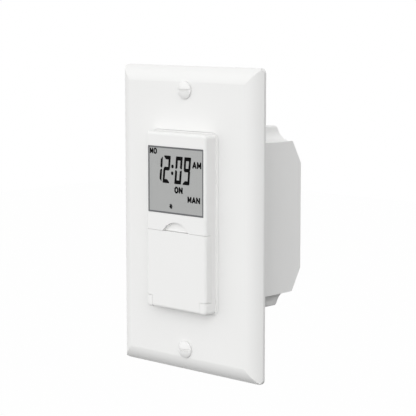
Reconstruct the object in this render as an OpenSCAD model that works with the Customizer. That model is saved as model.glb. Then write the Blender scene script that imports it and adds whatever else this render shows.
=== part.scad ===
// In-wall timer light switch with a wall plate, a flip-down door and a rear housing.
// Millimetres. X runs to the right, Y into the wall and Z up. The wall plane is Y = 0,
// and the origin lies midway between the two box screws on that plane.

/* [Wall plate] */
// Width of the wall plate
plate_w = 69.85; // [66:0.05:80]
// Height of the wall plate
plate_h = 114.3; // [112:0.1:126]
// Depth from the wall to the front of the plate
plate_t = 4.9; // [4.6:0.1:6.2]
// Width, seen from the front, of the rounded edge
plate_edge_w = 5.8; // [4.5:0.1:8]
// Straight part of the edge left next to the wall
plate_land = 1; // [0.6:0.1:1.6]
// Corner radius of the plate's outline
plate_corner_r = 2; // [1:0.1:4]
// Angle at which the rounded edge leaves the plate's front
plate_lead = 6; // [4:0.5:10]
// Width of the rim that bears on the wall
plate_rim_w = 3.2; // [2.6:0.1:4]
// Gap round the bezel in the plate's opening
opening_gap = 0.1; // [0.05:0.05:0.5]

/* [Screws in the plate and the wall box] */
// Distance between the two plate screws
plate_screw_pitch = 96.84; // [95:0.02:98]
// Distance between the two box screws
box_screw_pitch = 83.34; // [82:0.02:85]
// Radius of the holes for the box screws
box_hole_r = 2.1; // [1.9:0.05:2.4]
// Shank radius of the plate screws and the ground screw
screw_r = 1.75; // [1.4:0.05:1.9]
// Head radius of the plate screws
screw_head_r = 3.2; // [2.9:0.1:3.8]
// Height of a plate screw's dome
screw_dome_h = 1.1; // [0.6:0.1:1.4]
// How far the rim of a plate screw's head stands out of the plate
screw_rim_h = 0.6; // [0.2:0.1:0.8]
// Length of a plate screw behind the plate's front
screw_len = 11; // [9:0.5:14]
// Width of the driver slot
screw_slot_w = 0.9; // [0.6:0.1:1.2]

/* [Mounting strap] */
// Thickness of the steel strap
strap_t = 1.2; // [1:0.1:1.5]
// Gap between the strap's ends and the plate's rim
strap_end_gap = 1.55; // [1:0.05:2]
// Width of the strap's middle
strap_w = 41; // [40:0.1:41.8]
// Height of the strap's middle
strap_mid_h = 74; // [72:0.5:76]
// Width of the strap's ends
strap_end_w = 31; // [28:0.5:34]
// Radius of the break-off notches beside the ears
ear_notch_r = 3.2; // [2:0.1:4]

/* [Front bezel] */
// Width of the bezel in the plate's opening
bezel_w = 33.2; // [32:0.1:34]
// Height of the bezel in the plate's opening
bezel_h = 66.9; // [66:0.1:68]
// Width of the flush shoulder at each side of the raised front
shoulder_x = 1.4; // [1.2:0.1:1.6]
// Height of the flush shoulder above and below the raised front
shoulder_z = 0.4; // [0.2:0.1:0.8]
// How far the raised front stands out of the plate
bezel_proud = 5.2; // [5:0.1:6]
// Corner radius of the bezel in the plate's opening
bezel_corner_r = 2.75; // [2.2:0.05:4]
// Corner radius of the raised front
face_corner_r = 1.4; // [1.3:0.1:2.6]
// Radius of the bezel's front edge
bezel_edge_r = 1.1; // [0.5:0.1:1.2]
// Thickness of the raised front's side walls
bezel_wall = 1.1; // [1:0.05:1.2]
// Thickness of the raised front's upper and lower walls
bezel_end_wall = 1.6; // [1.3:0.05:1.8]
// Thickness of the bezel's face
bezel_face_t = 1.6; // [1.4:0.1:2]
// Thickness of the flange against the strap
flange_t = 1.6; // [1.2:0.1:1.8]
// How far the flange reaches past the bezel
flange_lap = 2; // [1.5:0.1:2.6]

/* [Display] */
// Width of the display window
window_w = 28.12; // [26:0.02:28.4]
// Height of the display window
window_h = 24.8; // [22:0.1:25]
// Height of the window's middle above the origin
window_z = 15.4; // [15.2:0.1:15.5]
// Thickness of the clear window
lens_t = 0.7; // [0.5:0.1:0.8]
// How far the window lies below the bezel's face
lens_recess = 0.1; // [0.05:0.05:0.2]
// Width of the ledge that carries the window
window_ledge = 1; // [0.8:0.1:1.2]
// Thickness of the display's rear glass
lcd_t = 1.8; // [1.4:0.1:2.2]

/* [Door] */
// Height of the seam above the door
door_top_z = -3.55; // [-4.5:0.05:-3]
// Thickness of the door
door_t = 1.4; // [1.1:0.1:1.6]
// Thickness of the door's side skirts
door_skirt_t = 1.3; // [1:0.1:1.5]
// Depth of the button panel below the bezel's face
panel_drop = 3; // [2.6:0.1:3.2]
// Gap round the door
door_gap = 0.1; // [0.05:0.05:0.3]
// Radius of the hinge barrel
hinge_r = 1.3; // [1.2:0.05:2]
// Radius of the hinge pins
hinge_pin_r = 0.65; // [0.6:0.05:1]
// Length of a hinge pin
hinge_pin_len = 2; // [1.6:0.1:2.4]
// Width of the two knuckle blocks beside the hinge
knuckle_w = 3.1; // [2.9:0.1:3.8]
// Radius about the hinge of the knuckle blocks' tops
knuckle_r = 3.4; // [2.8:0.05:4]
// Gap between the door and the tops of the knuckle blocks
knuckle_gap = 0.15; // [0.1:0.05:0.4]
// Width of the thumb notch above the door
notch_w = 13.2; // [10:0.1:16]
// Height of the thumb notch
notch_h = 3.5; // [2.4:0.1:3.6]
// Depth of the thumb notch
notch_depth = 1.3; // [0.8:0.1:2]

/* [Buttons] */
// Width of a push button
button_w = 10; // [8:0.1:10.4]
// Height of a push button
button_h = 4.4; // [3.6:0.1:4.6]
// Distance between the two columns of buttons
button_pitch_x = 13.2; // [13:0.1:14]
// Distance between the rows of buttons
button_pitch_z = 6.6; // [6.4:0.1:6.8]
// Distance from the door's seam to the first row
button_first = 5.05; // [4.6:0.05:5.3]
// How far a button stands out of the panel
button_proud = 0.8; // [0.6:0.1:0.9]
// Travel of a button
button_travel = 0.5; // [0.3:0.1:0.6]
// Radius of the recessed reset button
reset_r = 0.9; // [0.7:0.05:1]
// Thickness of the button panel
panel_t = 1.5; // [1.2:0.1:1.7]

/* [Rear housing] */
// Width of the rear housing
house_w = 42; // [41.8:0.1:45]
// Height of the rear housing at its full width
house_h = 57.4; // [56:0.1:60]
// Width of the narrower upper and lower necks
neck_w = 31.5; // [28:0.1:32]
// Height over the two necks
neck_h = 68.8; // [67:0.1:70]
// Depth of the housing behind the wall plane
house_depth = 36.8; // [35:0.1:40]
// Height of the flat part of the back
back_h = 40.2; // [38.8:0.1:42]
// Depth at which the sloped back leaves the end faces
slope_start = 28.5; // [26:0.1:29]
// Radius of the cove between neck and shoulder
cove_r = 3.5; // [2:0.1:5]
// Radius of the housing's outer corners
house_corner_r = 0.8; // [0.5:0.1:2]
// Wall thickness of the housing
house_wall = 2; // [1.6:0.1:2.2]
// Sideways distance of the housing screws from the middle
post_x = 17.4; // [17.2:0.1:17.6]
// Upward distance of the housing screws from the middle
post_z = 16; // [15.5:0.1:16.2]
// Radius of the screw posts
post_r = 2.8; // [2.6:0.1:2.9]
// Shank radius of the housing screws
house_screw_r = 1.25; // [1:0.05:1.3]
// Radius of the wire inlets in the back
wire_r = 1.6; // [1.3:0.05:1.8]
// Distance between the wire inlets
wire_pitch = 9; // [8.6:0.1:9.2]

/* [Circuit boards] */
// Thickness of both circuit boards
board_t = 1.6; // [1.2:0.1:1.8]
// Depth of the power board's front face behind the wall plane
power_board_y = 9; // [8.4:0.1:9.6]
// Length of the relay
relay_l = 19; // [18:0.1:19.4]
// Width of the relay
relay_w = 15.4; // [14.6:0.1:15.6]
// Height of the relay above its board
relay_h = 15.6; // [15:0.1:17]

/* [Hidden] */
$fn = 64;

// Small clearances shared by several pieces
cut = 1;
lap = 0.5;
screw_gap = 0.05;
seat_gap = 0.1;
slide_gap = 0.2;
board_gap = 0.3;
pin_gap = 0.05;
hinge_gap = 0.25;
hinge_lift = 0.05;
pin_end_room = 0.3;

// Depth levels from the front to the back
front_y = -plate_t - bezel_proud;
panel_y = front_y + panel_drop;
panel_back_y = panel_y + panel_t;
lens_back_y = front_y + lens_recess + lens_t;
face_back_y = front_y + bezel_face_t;
flange_y = -strap_t - flange_t;
board_y = -board_t;
board_back_y = 0;
lcd_back_y = face_back_y + lcd_t;
power_back_y = power_board_y + board_t;

// The bezel's raised front and its inside
face_w = bezel_w - 2 * shoulder_x;
face_h = bezel_h - 2 * shoulder_z;
inner_x = face_w / 2 - bezel_wall;
inner_z = face_h / 2 - bezel_end_wall;
hinge_y = front_y + hinge_r;
hinge_z = -face_h / 2 + hinge_r + hinge_lift;
trough_r = hinge_r + hinge_gap;
trough_wall = 1.3;
rear_cavity_y = max(panel_back_y, hinge_y + trough_r + trough_wall);
low_cavity_z = hinge_z + trough_r + trough_wall;
knuckle_x = face_w / 2 - knuckle_w;

// Display stack
lcd_lap = 1.4;
lcd_side_lap = 0.3;
holder_wall = 0.9;
holder_back_t = 1;
opening_w = window_w - 2 * window_ledge;
opening_h = window_h - 2 * window_ledge;
lcd_w = opening_w + 2 * lcd_side_lap;
lcd_h = opening_h + 2 * lcd_lap;
holder_w = 2 * (inner_x - seat_gap);
holder_h = lcd_h + 2 * holder_wall;
display_cavity_z = window_z - holder_h / 2 - seat_gap;
zebra_t = 1.4;
zebra_w = lcd_w - 2;
zebra_z = (lcd_h - lcd_lap) / 2;

// Board screws
boss_r = 1.1;
board_screw_r = 0.6;
board_screw_head_r = 1.05;
board_screw_head_h = 0.8;
board_screw_len = 4;
boss_x = neck_w / 2 - house_wall - board_screw_head_r - slide_gap;
boss_z = inner_z - boss_r - screw_gap;

// Buttons and the switches behind them
tact_w = 6;
tact_h = 2.3;
tact_y = board_y - tact_h;
reset_tact_w = 4;
reset_tact_h = 2;
plunger_r = 1.7;
plunger_reach = 1;
plunger_room = 0.3;
button_flange_lap = 0.5;
plunger_show = 0.9;
button_flange_t = tact_y - panel_back_y - plunger_show;
button_flange_y = panel_back_y + button_flange_t;
button_corner_r = 1;
button_z = [for (i = [0:2]) door_top_z - button_first - i * button_pitch_z];
button_spots = [
  [-button_pitch_x / 2, button_z[0]], [button_pitch_x / 2, button_z[0]],
  [-button_pitch_x / 2, button_z[1]], [button_pitch_x / 2, button_z[1]],
  [-button_pitch_x / 2, button_z[2]], [button_pitch_x / 2, button_z[2]]
];
reset_drop = 3.8;
reset_z = button_z[2] - reset_drop;
reset_flange_r = reset_r + 0.3;
reset_plunger_r = 0.8;
reset_sink = 0.4;

// Slopes of the housing's back
slope_k = (house_depth - slope_start) / ((neck_h - back_h) / 2);
slope_s = sqrt(1 + slope_k * slope_k);
house_in_x = house_w / 2 - house_wall;
house_in_z = house_h / 2 - house_wall;
back_in_y = house_depth - house_wall;
post_neck_r = post_r - 0.8;
post_hole_r = house_screw_r + 0.1;
house_head_r = post_hole_r + 1.1;
house_head_h = 1.8;
head_recess = 2.2;

// Power parts on the back of the power board
relay_x = -4;
relay_z = 15.4;
side_x = 10.6;
varistor_z = -0.4;
smoothing_x = -9.4;
smoothing_z = -1.6;
middle_x = 0.6;
fuse_z = -4.4;
bridge_z = 2.4;
chip_z = -4;
crystal_x = 9.5;
relay_wall = 0.8;
relay_base_t = 1.5;
pole_gap = 0.6;
terminal_top = back_in_y - 0.3;
terminal_w = 3 * wire_pitch + 1.2;
terminal_z = -13.7;
terminal_depth = 10.6;
terminal_cell_w = wire_pitch - 1.6;
terminal_floor = 3.4;
wire_bore_len = 9;
header_z = -22.5;
header_pins = 5;
header_pitch = 2.54;
cell_z = 16;
cell_r = 6.25;
cell_t = 2.5;
cell_floor_t = 0.6;

plastic_white = [0.93, 0.93, 0.93];
board_green = [0.1, 0.35, 0.2];
steel_grey = [0.7, 0.71, 0.72];
copper = [0.8, 0.5, 0.25];

// A box between two corners
module box(lo, hi) {
  translate(lo) cube(hi - lo);
}

// An outline drawn in X and Z, given depth along Y
module deep(y0, y1) {
  translate([0, y1, 0]) rotate([90, 0, 0]) linear_extrude(y1 - y0) children();
}

// An outline drawn in Y and Z, given length along X
module wide(x0, x1) {
  translate([x0, 0, 0]) rotate([90, 0, 90]) linear_extrude(x1 - x0) children();
}

// An outline drawn in X and Y, given height along Z
module tall(z0, z1) {
  translate([0, 0, z0]) linear_extrude(z1 - z0) children();
}

// A round bar along Y
module rod_y(r, y0, y1) {
  translate([0, y1, 0]) rotate([90, 0, 0]) cylinder(r = r, h = y1 - y0);
}

// A round bar along X
module rod_x(r, x0, x1) {
  translate([x0, 0, 0]) rotate([0, 90, 0]) cylinder(r = r, h = x1 - x0);
}

// A rectangle with round corners
module rounded(w, h, r) {
  square([w - 2 * r, h], center = true);
  square([w, h - 2 * r], center = true);
  for (sx = [-1, 1], sz = [-1, 1])
    translate([sx * (w / 2 - r), sz * (h / 2 - r)]) circle(r);
}

// Section across the plate: a flat front with an arc down to each edge
module plate_section(width) {
  drop = plate_t - plate_land;
  chord = sqrt(plate_edge_w * plate_edge_w + drop * drop);
  arc_r = chord / (2 * sin(atan2(drop, plate_edge_w) - plate_lead));
  arc_x = width / 2 - plate_edge_w - arc_r * sin(plate_lead);
  intersection() {
    translate([-width / 2, -plate_t]) square([width, plate_t]);
    union() {
      translate([-width / 2, -plate_land]) square([width, plate_land]);
      translate([-width / 2 + plate_edge_w, -plate_t])
        square([width - 2 * plate_edge_w, plate_t]);
      for (s = [-1, 1])
        translate([s * arc_x, arc_r * cos(plate_lead) - plate_t]) circle(arc_r);
    }
  }
}

module wall_plate() {
  boss_r_plate = screw_head_r + 1.4;
  sink = screw_head_r - screw_r;
  color(plastic_white) difference() {
    union() {
      difference() {
        intersection() {
          tall(-plate_h / 2, plate_h / 2) plate_section(plate_w);
          wide(-plate_w / 2, plate_w / 2) mirror([1, -1, 0]) plate_section(plate_h);
          deep(-plate_t, 0) rounded(plate_w, plate_h, plate_corner_r);
        }
        deep(flange_y - seat_gap, cut)
          rounded(plate_w - 2 * plate_rim_w, plate_h - 2 * plate_rim_w, plate_corner_r);
      }
      for (s = [-1, 1])
        translate([0, 0, s * plate_screw_pitch / 2]) rod_y(boss_r_plate, -plate_t + lap, -strap_t);
    }
    deep(-plate_t - cut, cut)
      rounded(bezel_w + 2 * opening_gap, bezel_h + 2 * opening_gap, bezel_corner_r + opening_gap);
    for (s = [-1, 1]) translate([0, 0, s * plate_screw_pitch / 2]) {
      rod_y(screw_r + slide_gap, -plate_t - cut, cut);
      translate([0, -plate_t, 0]) rotate([-90, 0, 0])
        cylinder(r1 = screw_head_r + screw_gap, r2 = screw_r + slide_gap, h = sink);
    }
  }
}

// Half section of an oval-head screw with its tip along +Y of the section
module oval_screw_section() {
  dome_r = (screw_head_r * screw_head_r + screw_dome_h * screw_dome_h) / (2 * screw_dome_h);
  square([screw_r, screw_len]);
  polygon([[0, 0], [screw_head_r, 0], [screw_r, screw_head_r - screw_r], [0, screw_head_r - screw_r]]);
  translate([0, -screw_rim_h]) square([screw_head_r, screw_rim_h]);
  translate([0, -screw_rim_h]) intersection() {
    translate([0, dome_r - screw_dome_h]) circle(dome_r);
    translate([0, -screw_dome_h]) square([screw_head_r, screw_dome_h]);
  }
}

module plate_screws() {
  slot_depth = screw_dome_h + screw_rim_h / 4;
  head_h = screw_rim_h + screw_dome_h;
  color(plastic_white) for (s = [-1, 1])
    translate([0, -plate_t, s * plate_screw_pitch / 2]) difference() {
      rotate([-90, 0, 0]) rotate_extrude() oval_screw_section();
      box([-screw_head_r - cut, -head_h - cut, -screw_slot_w / 2],
          [screw_head_r + cut, slot_depth - head_h, screw_slot_w / 2]);
    }
}

ground_head_r = 3.4;
ground_head_h = 2.4;
ground_room = 1.2;
notch_room = 2.05;
ground_x = -(strap_end_w / 2 - ear_notch_r - screw_r - notch_room);
ground_z = -max(neck_h / 2 + ground_head_r, bezel_h / 2 + flange_lap + screw_r) - ground_room;
stake_r = 0.8;
stake_x = 8;
stake_z = inner_z + 1.9;

module strap_outline() {
  strap_h = plate_h - 2 * (plate_rim_w + strap_end_gap);
  strap_corner_r = 4;
  notch_z = box_screw_pitch / 2 + 2.4;
  square([strap_w, strap_mid_h], center = true);
  difference() {
    rounded(strap_end_w, strap_h, strap_corner_r);
    for (sx = [-1, 1], sz = [-1, 1])
      translate([sx * strap_end_w / 2, sz * notch_z]) circle(ear_notch_r);
  }
}

module mounting_strap() {
  color(steel_grey) difference() {
    deep(-strap_t, 0) strap_outline();
    box([-inner_x, -strap_t - cut, -inner_z], [inner_x, cut, inner_z]);
    for (s = [-1, 1]) {
      translate([0, 0, s * box_screw_pitch / 2]) rod_y(box_hole_r, -strap_t - cut, cut);
      translate([0, 0, s * plate_screw_pitch / 2])
        rod_y(screw_r + screw_gap, -strap_t - cut, cut);
    }
    for (sx = [-1, 1], sz = [-1, 1]) {
      translate([sx * post_x, 0, sz * post_z])
        rod_y(house_screw_r + screw_gap, -strap_t - cut, cut);
      translate([sx * stake_x, 0, sz * stake_z]) rod_y(stake_r + seat_gap, -strap_t - cut, cut);
    }
    translate([ground_x, 0, ground_z]) rod_y(screw_r + screw_gap, -strap_t - cut, cut);
  }
}

module ground_screw() {
  shank_out = 0.8;
  color([0.15, 0.45, 0.2]) translate([ground_x, 0, ground_z]) difference() {
    union() {
      rod_y(screw_r, -strap_t - shank_out, 0.2);
      translate([0, ground_head_h, 0]) rotate([90, 0, 0])
        cylinder(r = ground_head_r, h = ground_head_h, $fn = 6);
    }
    box([-ground_head_r, ground_head_h - 1, -0.5], [ground_head_r, ground_head_h + cut, 0.5]);
  }
}

// A block with round corners and a round front edge
module pillow(w, h, y0, y1, corner_r, edge_r) {
  depth = y1 - y0;
  tall(corner_r - h / 2, h / 2 - corner_r) front_section(w, y0, depth, edge_r);
  wide(corner_r - w / 2, w / 2 - corner_r) mirror([1, -1, 0]) front_section(h, y0, depth, edge_r);
  for (sx = [-1, 1], sz = [-1, 1])
    translate([sx * (w / 2 - corner_r), y1, sz * (h / 2 - corner_r)])
      rotate([90, 0, 0]) rotate_extrude() {
        square([corner_r - edge_r, depth]);
        square([corner_r, depth - edge_r]);
        translate([corner_r - edge_r, depth - edge_r]) circle_quarter(edge_r);
      }
}

// The quarter of a disc on the positive side of both axes
module circle_quarter(r) {
  intersection() {
    circle(r);
    square(r);
  }
}

// Section of a block whose two front corners are round
module front_section(width, y0, depth, edge_r) {
  translate([edge_r - width / 2, y0]) square([width - 2 * edge_r, depth]);
  translate([-width / 2, y0 + edge_r]) square([width, depth - edge_r]);
  for (s = [-1, 1]) translate([s * (width / 2 - edge_r), y0 + edge_r]) circle(edge_r);
}

module bezel_body() {
  intersection() {
    pillow(face_w, face_h, front_y, -strap_t, face_corner_r, bezel_edge_r);
    box([-bezel_w, front_y - cut, door_top_z], [bezel_w, cut, bezel_h]);
  }
  deep(panel_y, -strap_t) rounded(face_w, face_h, face_corner_r);
  deep(-plate_t, -strap_t) rounded(bezel_w, bezel_h, bezel_corner_r);
  deep(flange_y, -strap_t)
    rounded(bezel_w + 2 * flange_lap, bezel_h + 2 * flange_lap, bezel_corner_r);
  intersection() {
    pillow(face_w, face_h, front_y, -strap_t, face_corner_r, bezel_edge_r);
    for (s = [-1, 1]) hinge_knuckle(s);
  }
  for (sx = [-1, 1], sz = [-1, 1])
    translate([sx * stake_x, 0, sz * stake_z]) rod_y(stake_r, -strap_t - lap, 0);
}

module hinge_knuckle(s) {
  x0 = s > 0 ? knuckle_x : -face_w / 2;
  intersection() {
    translate([0, hinge_y, hinge_z]) rod_x(knuckle_r, x0, x0 + knuckle_w);
    box([x0, front_y - cut, -bezel_h], [x0 + knuckle_w, panel_y + lap, bezel_h]);
  }
}

// Everything that is cut out of the bezel
module bezel_cuts() {
  notch_r = (notch_w * notch_w / 4 + notch_h * notch_h) / (2 * notch_h);
  translate([0, 0, window_z]) {
    deep(front_y - cut, lens_back_y) square([window_w, window_h], center = true);
    deep(front_y - cut, face_back_y + cut) square([opening_w, opening_h], center = true);
  }
  box([-inner_x, face_back_y, display_cavity_z], [inner_x, cut, inner_z]);
  box([-inner_x, panel_back_y, low_cavity_z], [inner_x, cut, display_cavity_z + cut]);
  box([-inner_x, rear_cavity_y, -inner_z], [inner_x, cut, inner_z]);
  intersection() {
    translate([0, 0, door_top_z + notch_h - notch_r])
      rod_y(notch_r, front_y - cut, front_y + notch_depth);
    box([-notch_w, front_y - 2 * cut, door_top_z - cut], [notch_w, panel_y, door_top_z + 2 * notch_h]);
  }
  translate([0, hinge_y, hinge_z]) {
    rod_x(trough_r, -knuckle_x, knuckle_x);
    pin_reach = knuckle_x + hinge_pin_len + pin_end_room;
    rod_x(hinge_pin_r + pin_gap, -pin_reach, pin_reach);
  }
  for (p = button_spots) translate([p[0], 0, p[1]])
    deep(panel_y - cut, panel_back_y + cut)
      rounded(button_w + 2 * slide_gap, button_h + 2 * slide_gap, button_corner_r + slide_gap);
  translate([0, 0, reset_z]) rod_y(reset_r + slide_gap, panel_y - cut, panel_back_y + cut);
}

module front_bezel() {
  color(plastic_white) difference() {
    union() {
      difference() {
        bezel_body();
        bezel_cuts();
      }
      for (sx = [-1, 1]) {
        translate([sx * boss_x, 0, boss_z]) rod_y(boss_r, face_back_y - lap, board_y);
        translate([sx * boss_x, 0, -boss_z]) rod_y(boss_r, rear_cavity_y - lap, board_y);
      }
    }
    for (sx = [-1, 1], sz = [-1, 1])
      translate([sx * boss_x, 0, sz * boss_z])
        rod_y(board_screw_r + screw_gap, board_y - board_screw_len + board_t - 0.4, cut);
  }
}

module lcd_window() {
  fit = 0.08;
  color([0.75, 0.77, 0.76, 0.4]) translate([0, 0, window_z])
    deep(front_y + lens_recess, lens_back_y)
      square([window_w - 2 * fit, window_h - 2 * fit], center = true);
}

module lcd_glass() {
  color([0.66, 0.68, 0.66]) translate([0, 0, window_z]) {
    deep(lens_back_y + screw_gap, face_back_y)
      square([opening_w - 2 * seat_gap, opening_h - 2 * seat_gap], center = true);
    deep(face_back_y, lcd_back_y) square([lcd_w, lcd_h], center = true);
  }
}

module lcd_holder() {
  web_rim = 1.5;
  web_w = holder_w - 2 * web_rim;
  color([0.9, 0.9, 0.88]) translate([0, 0, window_z]) difference() {
    deep(face_back_y, board_y) square([holder_w, holder_h], center = true);
    deep(face_back_y - cut, lcd_back_y)
      square([lcd_w + 2 * seat_gap, lcd_h + 2 * seat_gap], center = true);
    deep(lcd_back_y + holder_back_t, cut)
      square([web_w, 2 * zebra_z - zebra_t - 2 * holder_wall], center = true);
    for (s = [-1, 1]) translate([0, 0, s * zebra_z])
      deep(lcd_back_y - cut, cut)
        square([zebra_w + 2 * seat_gap, zebra_t + 2 * seat_gap], center = true);
  }
}

module zebra_strips() {
  color([0.85, 0.45, 0.5]) translate([0, 0, window_z]) for (s = [-1, 1])
    translate([0, 0, s * zebra_z])
      deep(lcd_back_y, board_y) square([zebra_w, zebra_t], center = true);
}

module control_board() {
  color(board_green) difference() {
    deep(board_y, board_back_y)
      square([2 * (inner_x - board_gap), 2 * (inner_z - board_gap)], center = true);
    for (sx = [-1, 1], sz = [-1, 1])
      translate([sx * boss_x, 0, sz * boss_z])
        rod_y(board_screw_r + seat_gap, board_y - cut, board_back_y + cut);
  }
}

module board_screws() {
  color(steel_grey) for (sx = [-1, 1], sz = [-1, 1])
    translate([sx * boss_x, board_back_y, sz * boss_z]) difference() {
      union() {
        rod_y(board_screw_r, -board_screw_len, 0.2);
        rod_y(board_screw_head_r, 0, board_screw_head_h);
      }
      box([-0.15, board_screw_head_h - 0.4, -0.7], [0.15, board_screw_head_h + cut, 0.7]);
      box([-0.7, board_screw_head_h - 0.4, -0.15], [0.7, board_screw_head_h + cut, 0.15]);
    }
}

// A tactile switch's base, open at the front for its plunger
module tact_base(w, h, bore_r) {
  floor_y = tact_y + plunger_reach + button_travel + plunger_room;
  difference() {
    deep(board_y - h, board_y) square([w, w], center = true);
    rod_y(bore_r + screw_gap, board_y - h - cut, floor_y);
  }
}

module tact_switches() {
  color([0.2, 0.2, 0.22]) {
    for (p = button_spots) translate([p[0], 0, p[1]]) tact_base(tact_w, tact_h, plunger_r);
    translate([0, 0, reset_z]) tact_base(reset_tact_w, reset_tact_h, reset_plunger_r);
  }
}

module push_button(i) {
  p = button_spots[i];
  color(plastic_white) translate([p[0], 0, p[1]]) {
    deep(panel_y - button_proud, panel_back_y + 0.1) rounded(button_w, button_h, button_corner_r);
    deep(panel_back_y, button_flange_y)
      rounded(button_w + 2 * button_flange_lap, button_h + 2 * button_flange_lap, button_corner_r);
  }
}

module push_plunger(i) {
  p = button_spots[i];
  color([0.15, 0.15, 0.16]) translate([p[0], 0, p[1]])
    rod_y(plunger_r, button_flange_y, tact_y + plunger_reach);
}

module reset_button() {
  color([0.8, 0.8, 0.8]) translate([0, 0, reset_z]) {
    rod_y(reset_r, panel_y + reset_sink, panel_back_y + 0.1);
    rod_y(reset_flange_r, panel_back_y, button_flange_y);
  }
}

module reset_plunger() {
  color([0.15, 0.15, 0.16]) translate([0, 0, reset_z])
    rod_y(reset_plunger_r, button_flange_y, tact_y + plunger_reach);
}

module control_chip() {
  chip_w = 9;
  chip_t = 1.4;
  lead_t = 0.3;
  color([0.12, 0.12, 0.13]) translate([0, 0, chip_z]) {
    deep(board_back_y + 0.1, board_back_y + chip_t) square([chip_w, chip_w], center = true);
    for (i = [-4:4], s = [-1, 1]) {
      translate([i * 0.9, 0, s * (chip_w / 2 + 0.4)])
        deep(board_back_y, board_back_y + lead_t) square([0.4, 1.2], center = true);
      translate([s * (chip_w / 2 + 0.4), 0, i * 0.9])
        deep(board_back_y, board_back_y + lead_t) square([1.2, 0.4], center = true);
    }
  }
}

module clock_crystal() {
  crystal_r = 1.5;
  crystal_l = 6;
  color(steel_grey) translate([crystal_x, board_back_y + crystal_r, chip_z])
    cylinder(r = crystal_r, h = crystal_l, center = true);
}

module cell_holder() {
  wall = 0.8;
  color([0.15, 0.15, 0.15]) translate([0, 0, cell_z]) difference() {
    rod_y(cell_r + seat_gap + wall, board_back_y, board_back_y + cell_floor_t + cell_t);
    rod_y(cell_r + seat_gap, board_back_y + cell_floor_t, board_back_y + cell_floor_t + cell_t + cut);
    box([-3, board_back_y + cell_floor_t, cell_r - 1], [3, power_board_y, cell_r + 3]);
  }
}

module backup_cell() {
  color([0.8, 0.8, 0.78]) translate([0, 0, cell_z]) {
    rod_y(cell_r, board_back_y + cell_floor_t, board_back_y + cell_floor_t + cell_t * 0.75);
    rod_y(cell_r - 1, board_back_y + cell_floor_t + cell_t * 0.7, board_back_y + cell_floor_t + cell_t);
  }
}

header_split_y = (board_back_y + power_board_y) / 2;
header_pin_r = 0.32;

module header_row() {
  for (i = [0:header_pins - 1])
    translate([(i - (header_pins - 1) / 2) * header_pitch, 0, header_z]) children();
}

module board_header() {
  pin_end = power_board_y - 0.8;
  color([0.12, 0.12, 0.13]) {
    translate([0, 0, header_z]) deep(board_back_y, header_split_y)
      square([header_pins * header_pitch, header_pitch], center = true);
    header_row() rod_y(header_pin_r, header_split_y - lap, pin_end);
  }
}

module board_socket() {
  color([0.2, 0.2, 0.22]) difference() {
    translate([0, 0, header_z]) deep(header_split_y, power_board_y)
      square([header_pins * header_pitch, header_pitch], center = true);
    header_row() rod_y(header_pin_r + screw_gap, header_split_y - cut, power_board_y - 0.4);
  }
}

module power_board() {
  color(board_green) difference() {
    deep(power_board_y, power_back_y)
      square([2 * (house_in_x - 2 * slide_gap), 2 * (house_in_z - board_gap)], center = true);
    for (sx = [-1, 1], sz = [-1, 1])
      translate([sx * post_x, 0, sz * post_z])
        rod_y(post_neck_r + slide_gap, power_board_y - cut, power_back_y + cut);
  }
}

// Relay: a coil on an L-shaped yoke, with an armature that rocks on the yoke's edge
relay_y0 = power_back_y + relay_base_t;
yoke_t = 1.2;
yoke_w = 9;
yoke_x = relay_x + relay_l / 2 - relay_wall - 2;
coil_x = relay_x + 0.8;
coil_r = 4.4;
coil_room = 3.4;
coil_top_y = power_back_y + relay_h - relay_wall - coil_room;
pole_r = 2.2;
armature_t = 0.9;
armature_y = coil_top_y + pole_gap + armature_t / 2;
armature_bead_r = 0.7;
armature_x0 = relay_x - relay_l / 2 + relay_wall + 0.8;
contact_x = armature_x0 + 1.2;
contact_r = 1;

module relay_base() {
  color([0.2, 0.22, 0.25]) translate([relay_x, 0, relay_z])
    deep(power_back_y, relay_y0) square([relay_l, relay_w], center = true);
}

module relay_cover() {
  color([0.1, 0.25, 0.5]) translate([relay_x, 0, relay_z]) difference() {
    deep(relay_y0, power_back_y + relay_h) square([relay_l, relay_w], center = true);
    deep(relay_y0 - cut, power_back_y + relay_h - relay_wall)
      square([relay_l - 2 * relay_wall, relay_w - 2 * relay_wall], center = true);
  }
}

module relay_yoke() {
  color(steel_grey) difference() {
    union() {
      box([coil_x - coil_r, relay_y0, relay_z - yoke_w / 2],
          [yoke_x + yoke_t, relay_y0 + yoke_t, relay_z + yoke_w / 2]);
      box([yoke_x, relay_y0, relay_z - yoke_w / 2],
          [yoke_x + yoke_t, armature_y, relay_z + yoke_w / 2]);
    }
    translate([yoke_x + yoke_t / 2, armature_y, relay_z - yoke_w])
      cylinder(r = armature_bead_r + pin_gap, h = 2 * yoke_w);
  }
}

module relay_coil() {
  cheek_t = 0.8;
  color(copper) translate([coil_x, 0, relay_z]) {
    rod_y(coil_r, relay_y0 + yoke_t, relay_y0 + yoke_t + cheek_t);
    rod_y(coil_r - 0.6, relay_y0 + yoke_t, coil_top_y - 0.6);
    rod_y(coil_r, coil_top_y - 0.6 - cheek_t, coil_top_y - 0.6);
    rod_y(pole_r, coil_top_y - 1, coil_top_y);
  }
}

module relay_armature() {
  bead_x = yoke_x + yoke_t / 2;
  color([0.6, 0.6, 0.62]) {
    box([armature_x0, armature_y - armature_t / 2, relay_z - yoke_w / 2],
        [bead_x, armature_y + armature_t / 2, relay_z + yoke_w / 2]);
    translate([bead_x, armature_y, relay_z]) cylinder(r = armature_bead_r, h = yoke_w, center = true);
    translate([contact_x, 0, relay_z])
      rod_y(contact_r, armature_y - armature_t / 2 - 0.5, armature_y);
  }
}

module relay_contacts() {
  contact_gap = 0.9;
  contact_y = armature_y - armature_t / 2 - 0.5 - contact_gap;
  color(copper) translate([contact_x, 0, relay_z]) {
    deep(relay_y0, contact_y - 0.4) square([1, 3], center = true);
    rod_y(contact_r, contact_y - 0.6, contact_y);
  }
}

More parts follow.
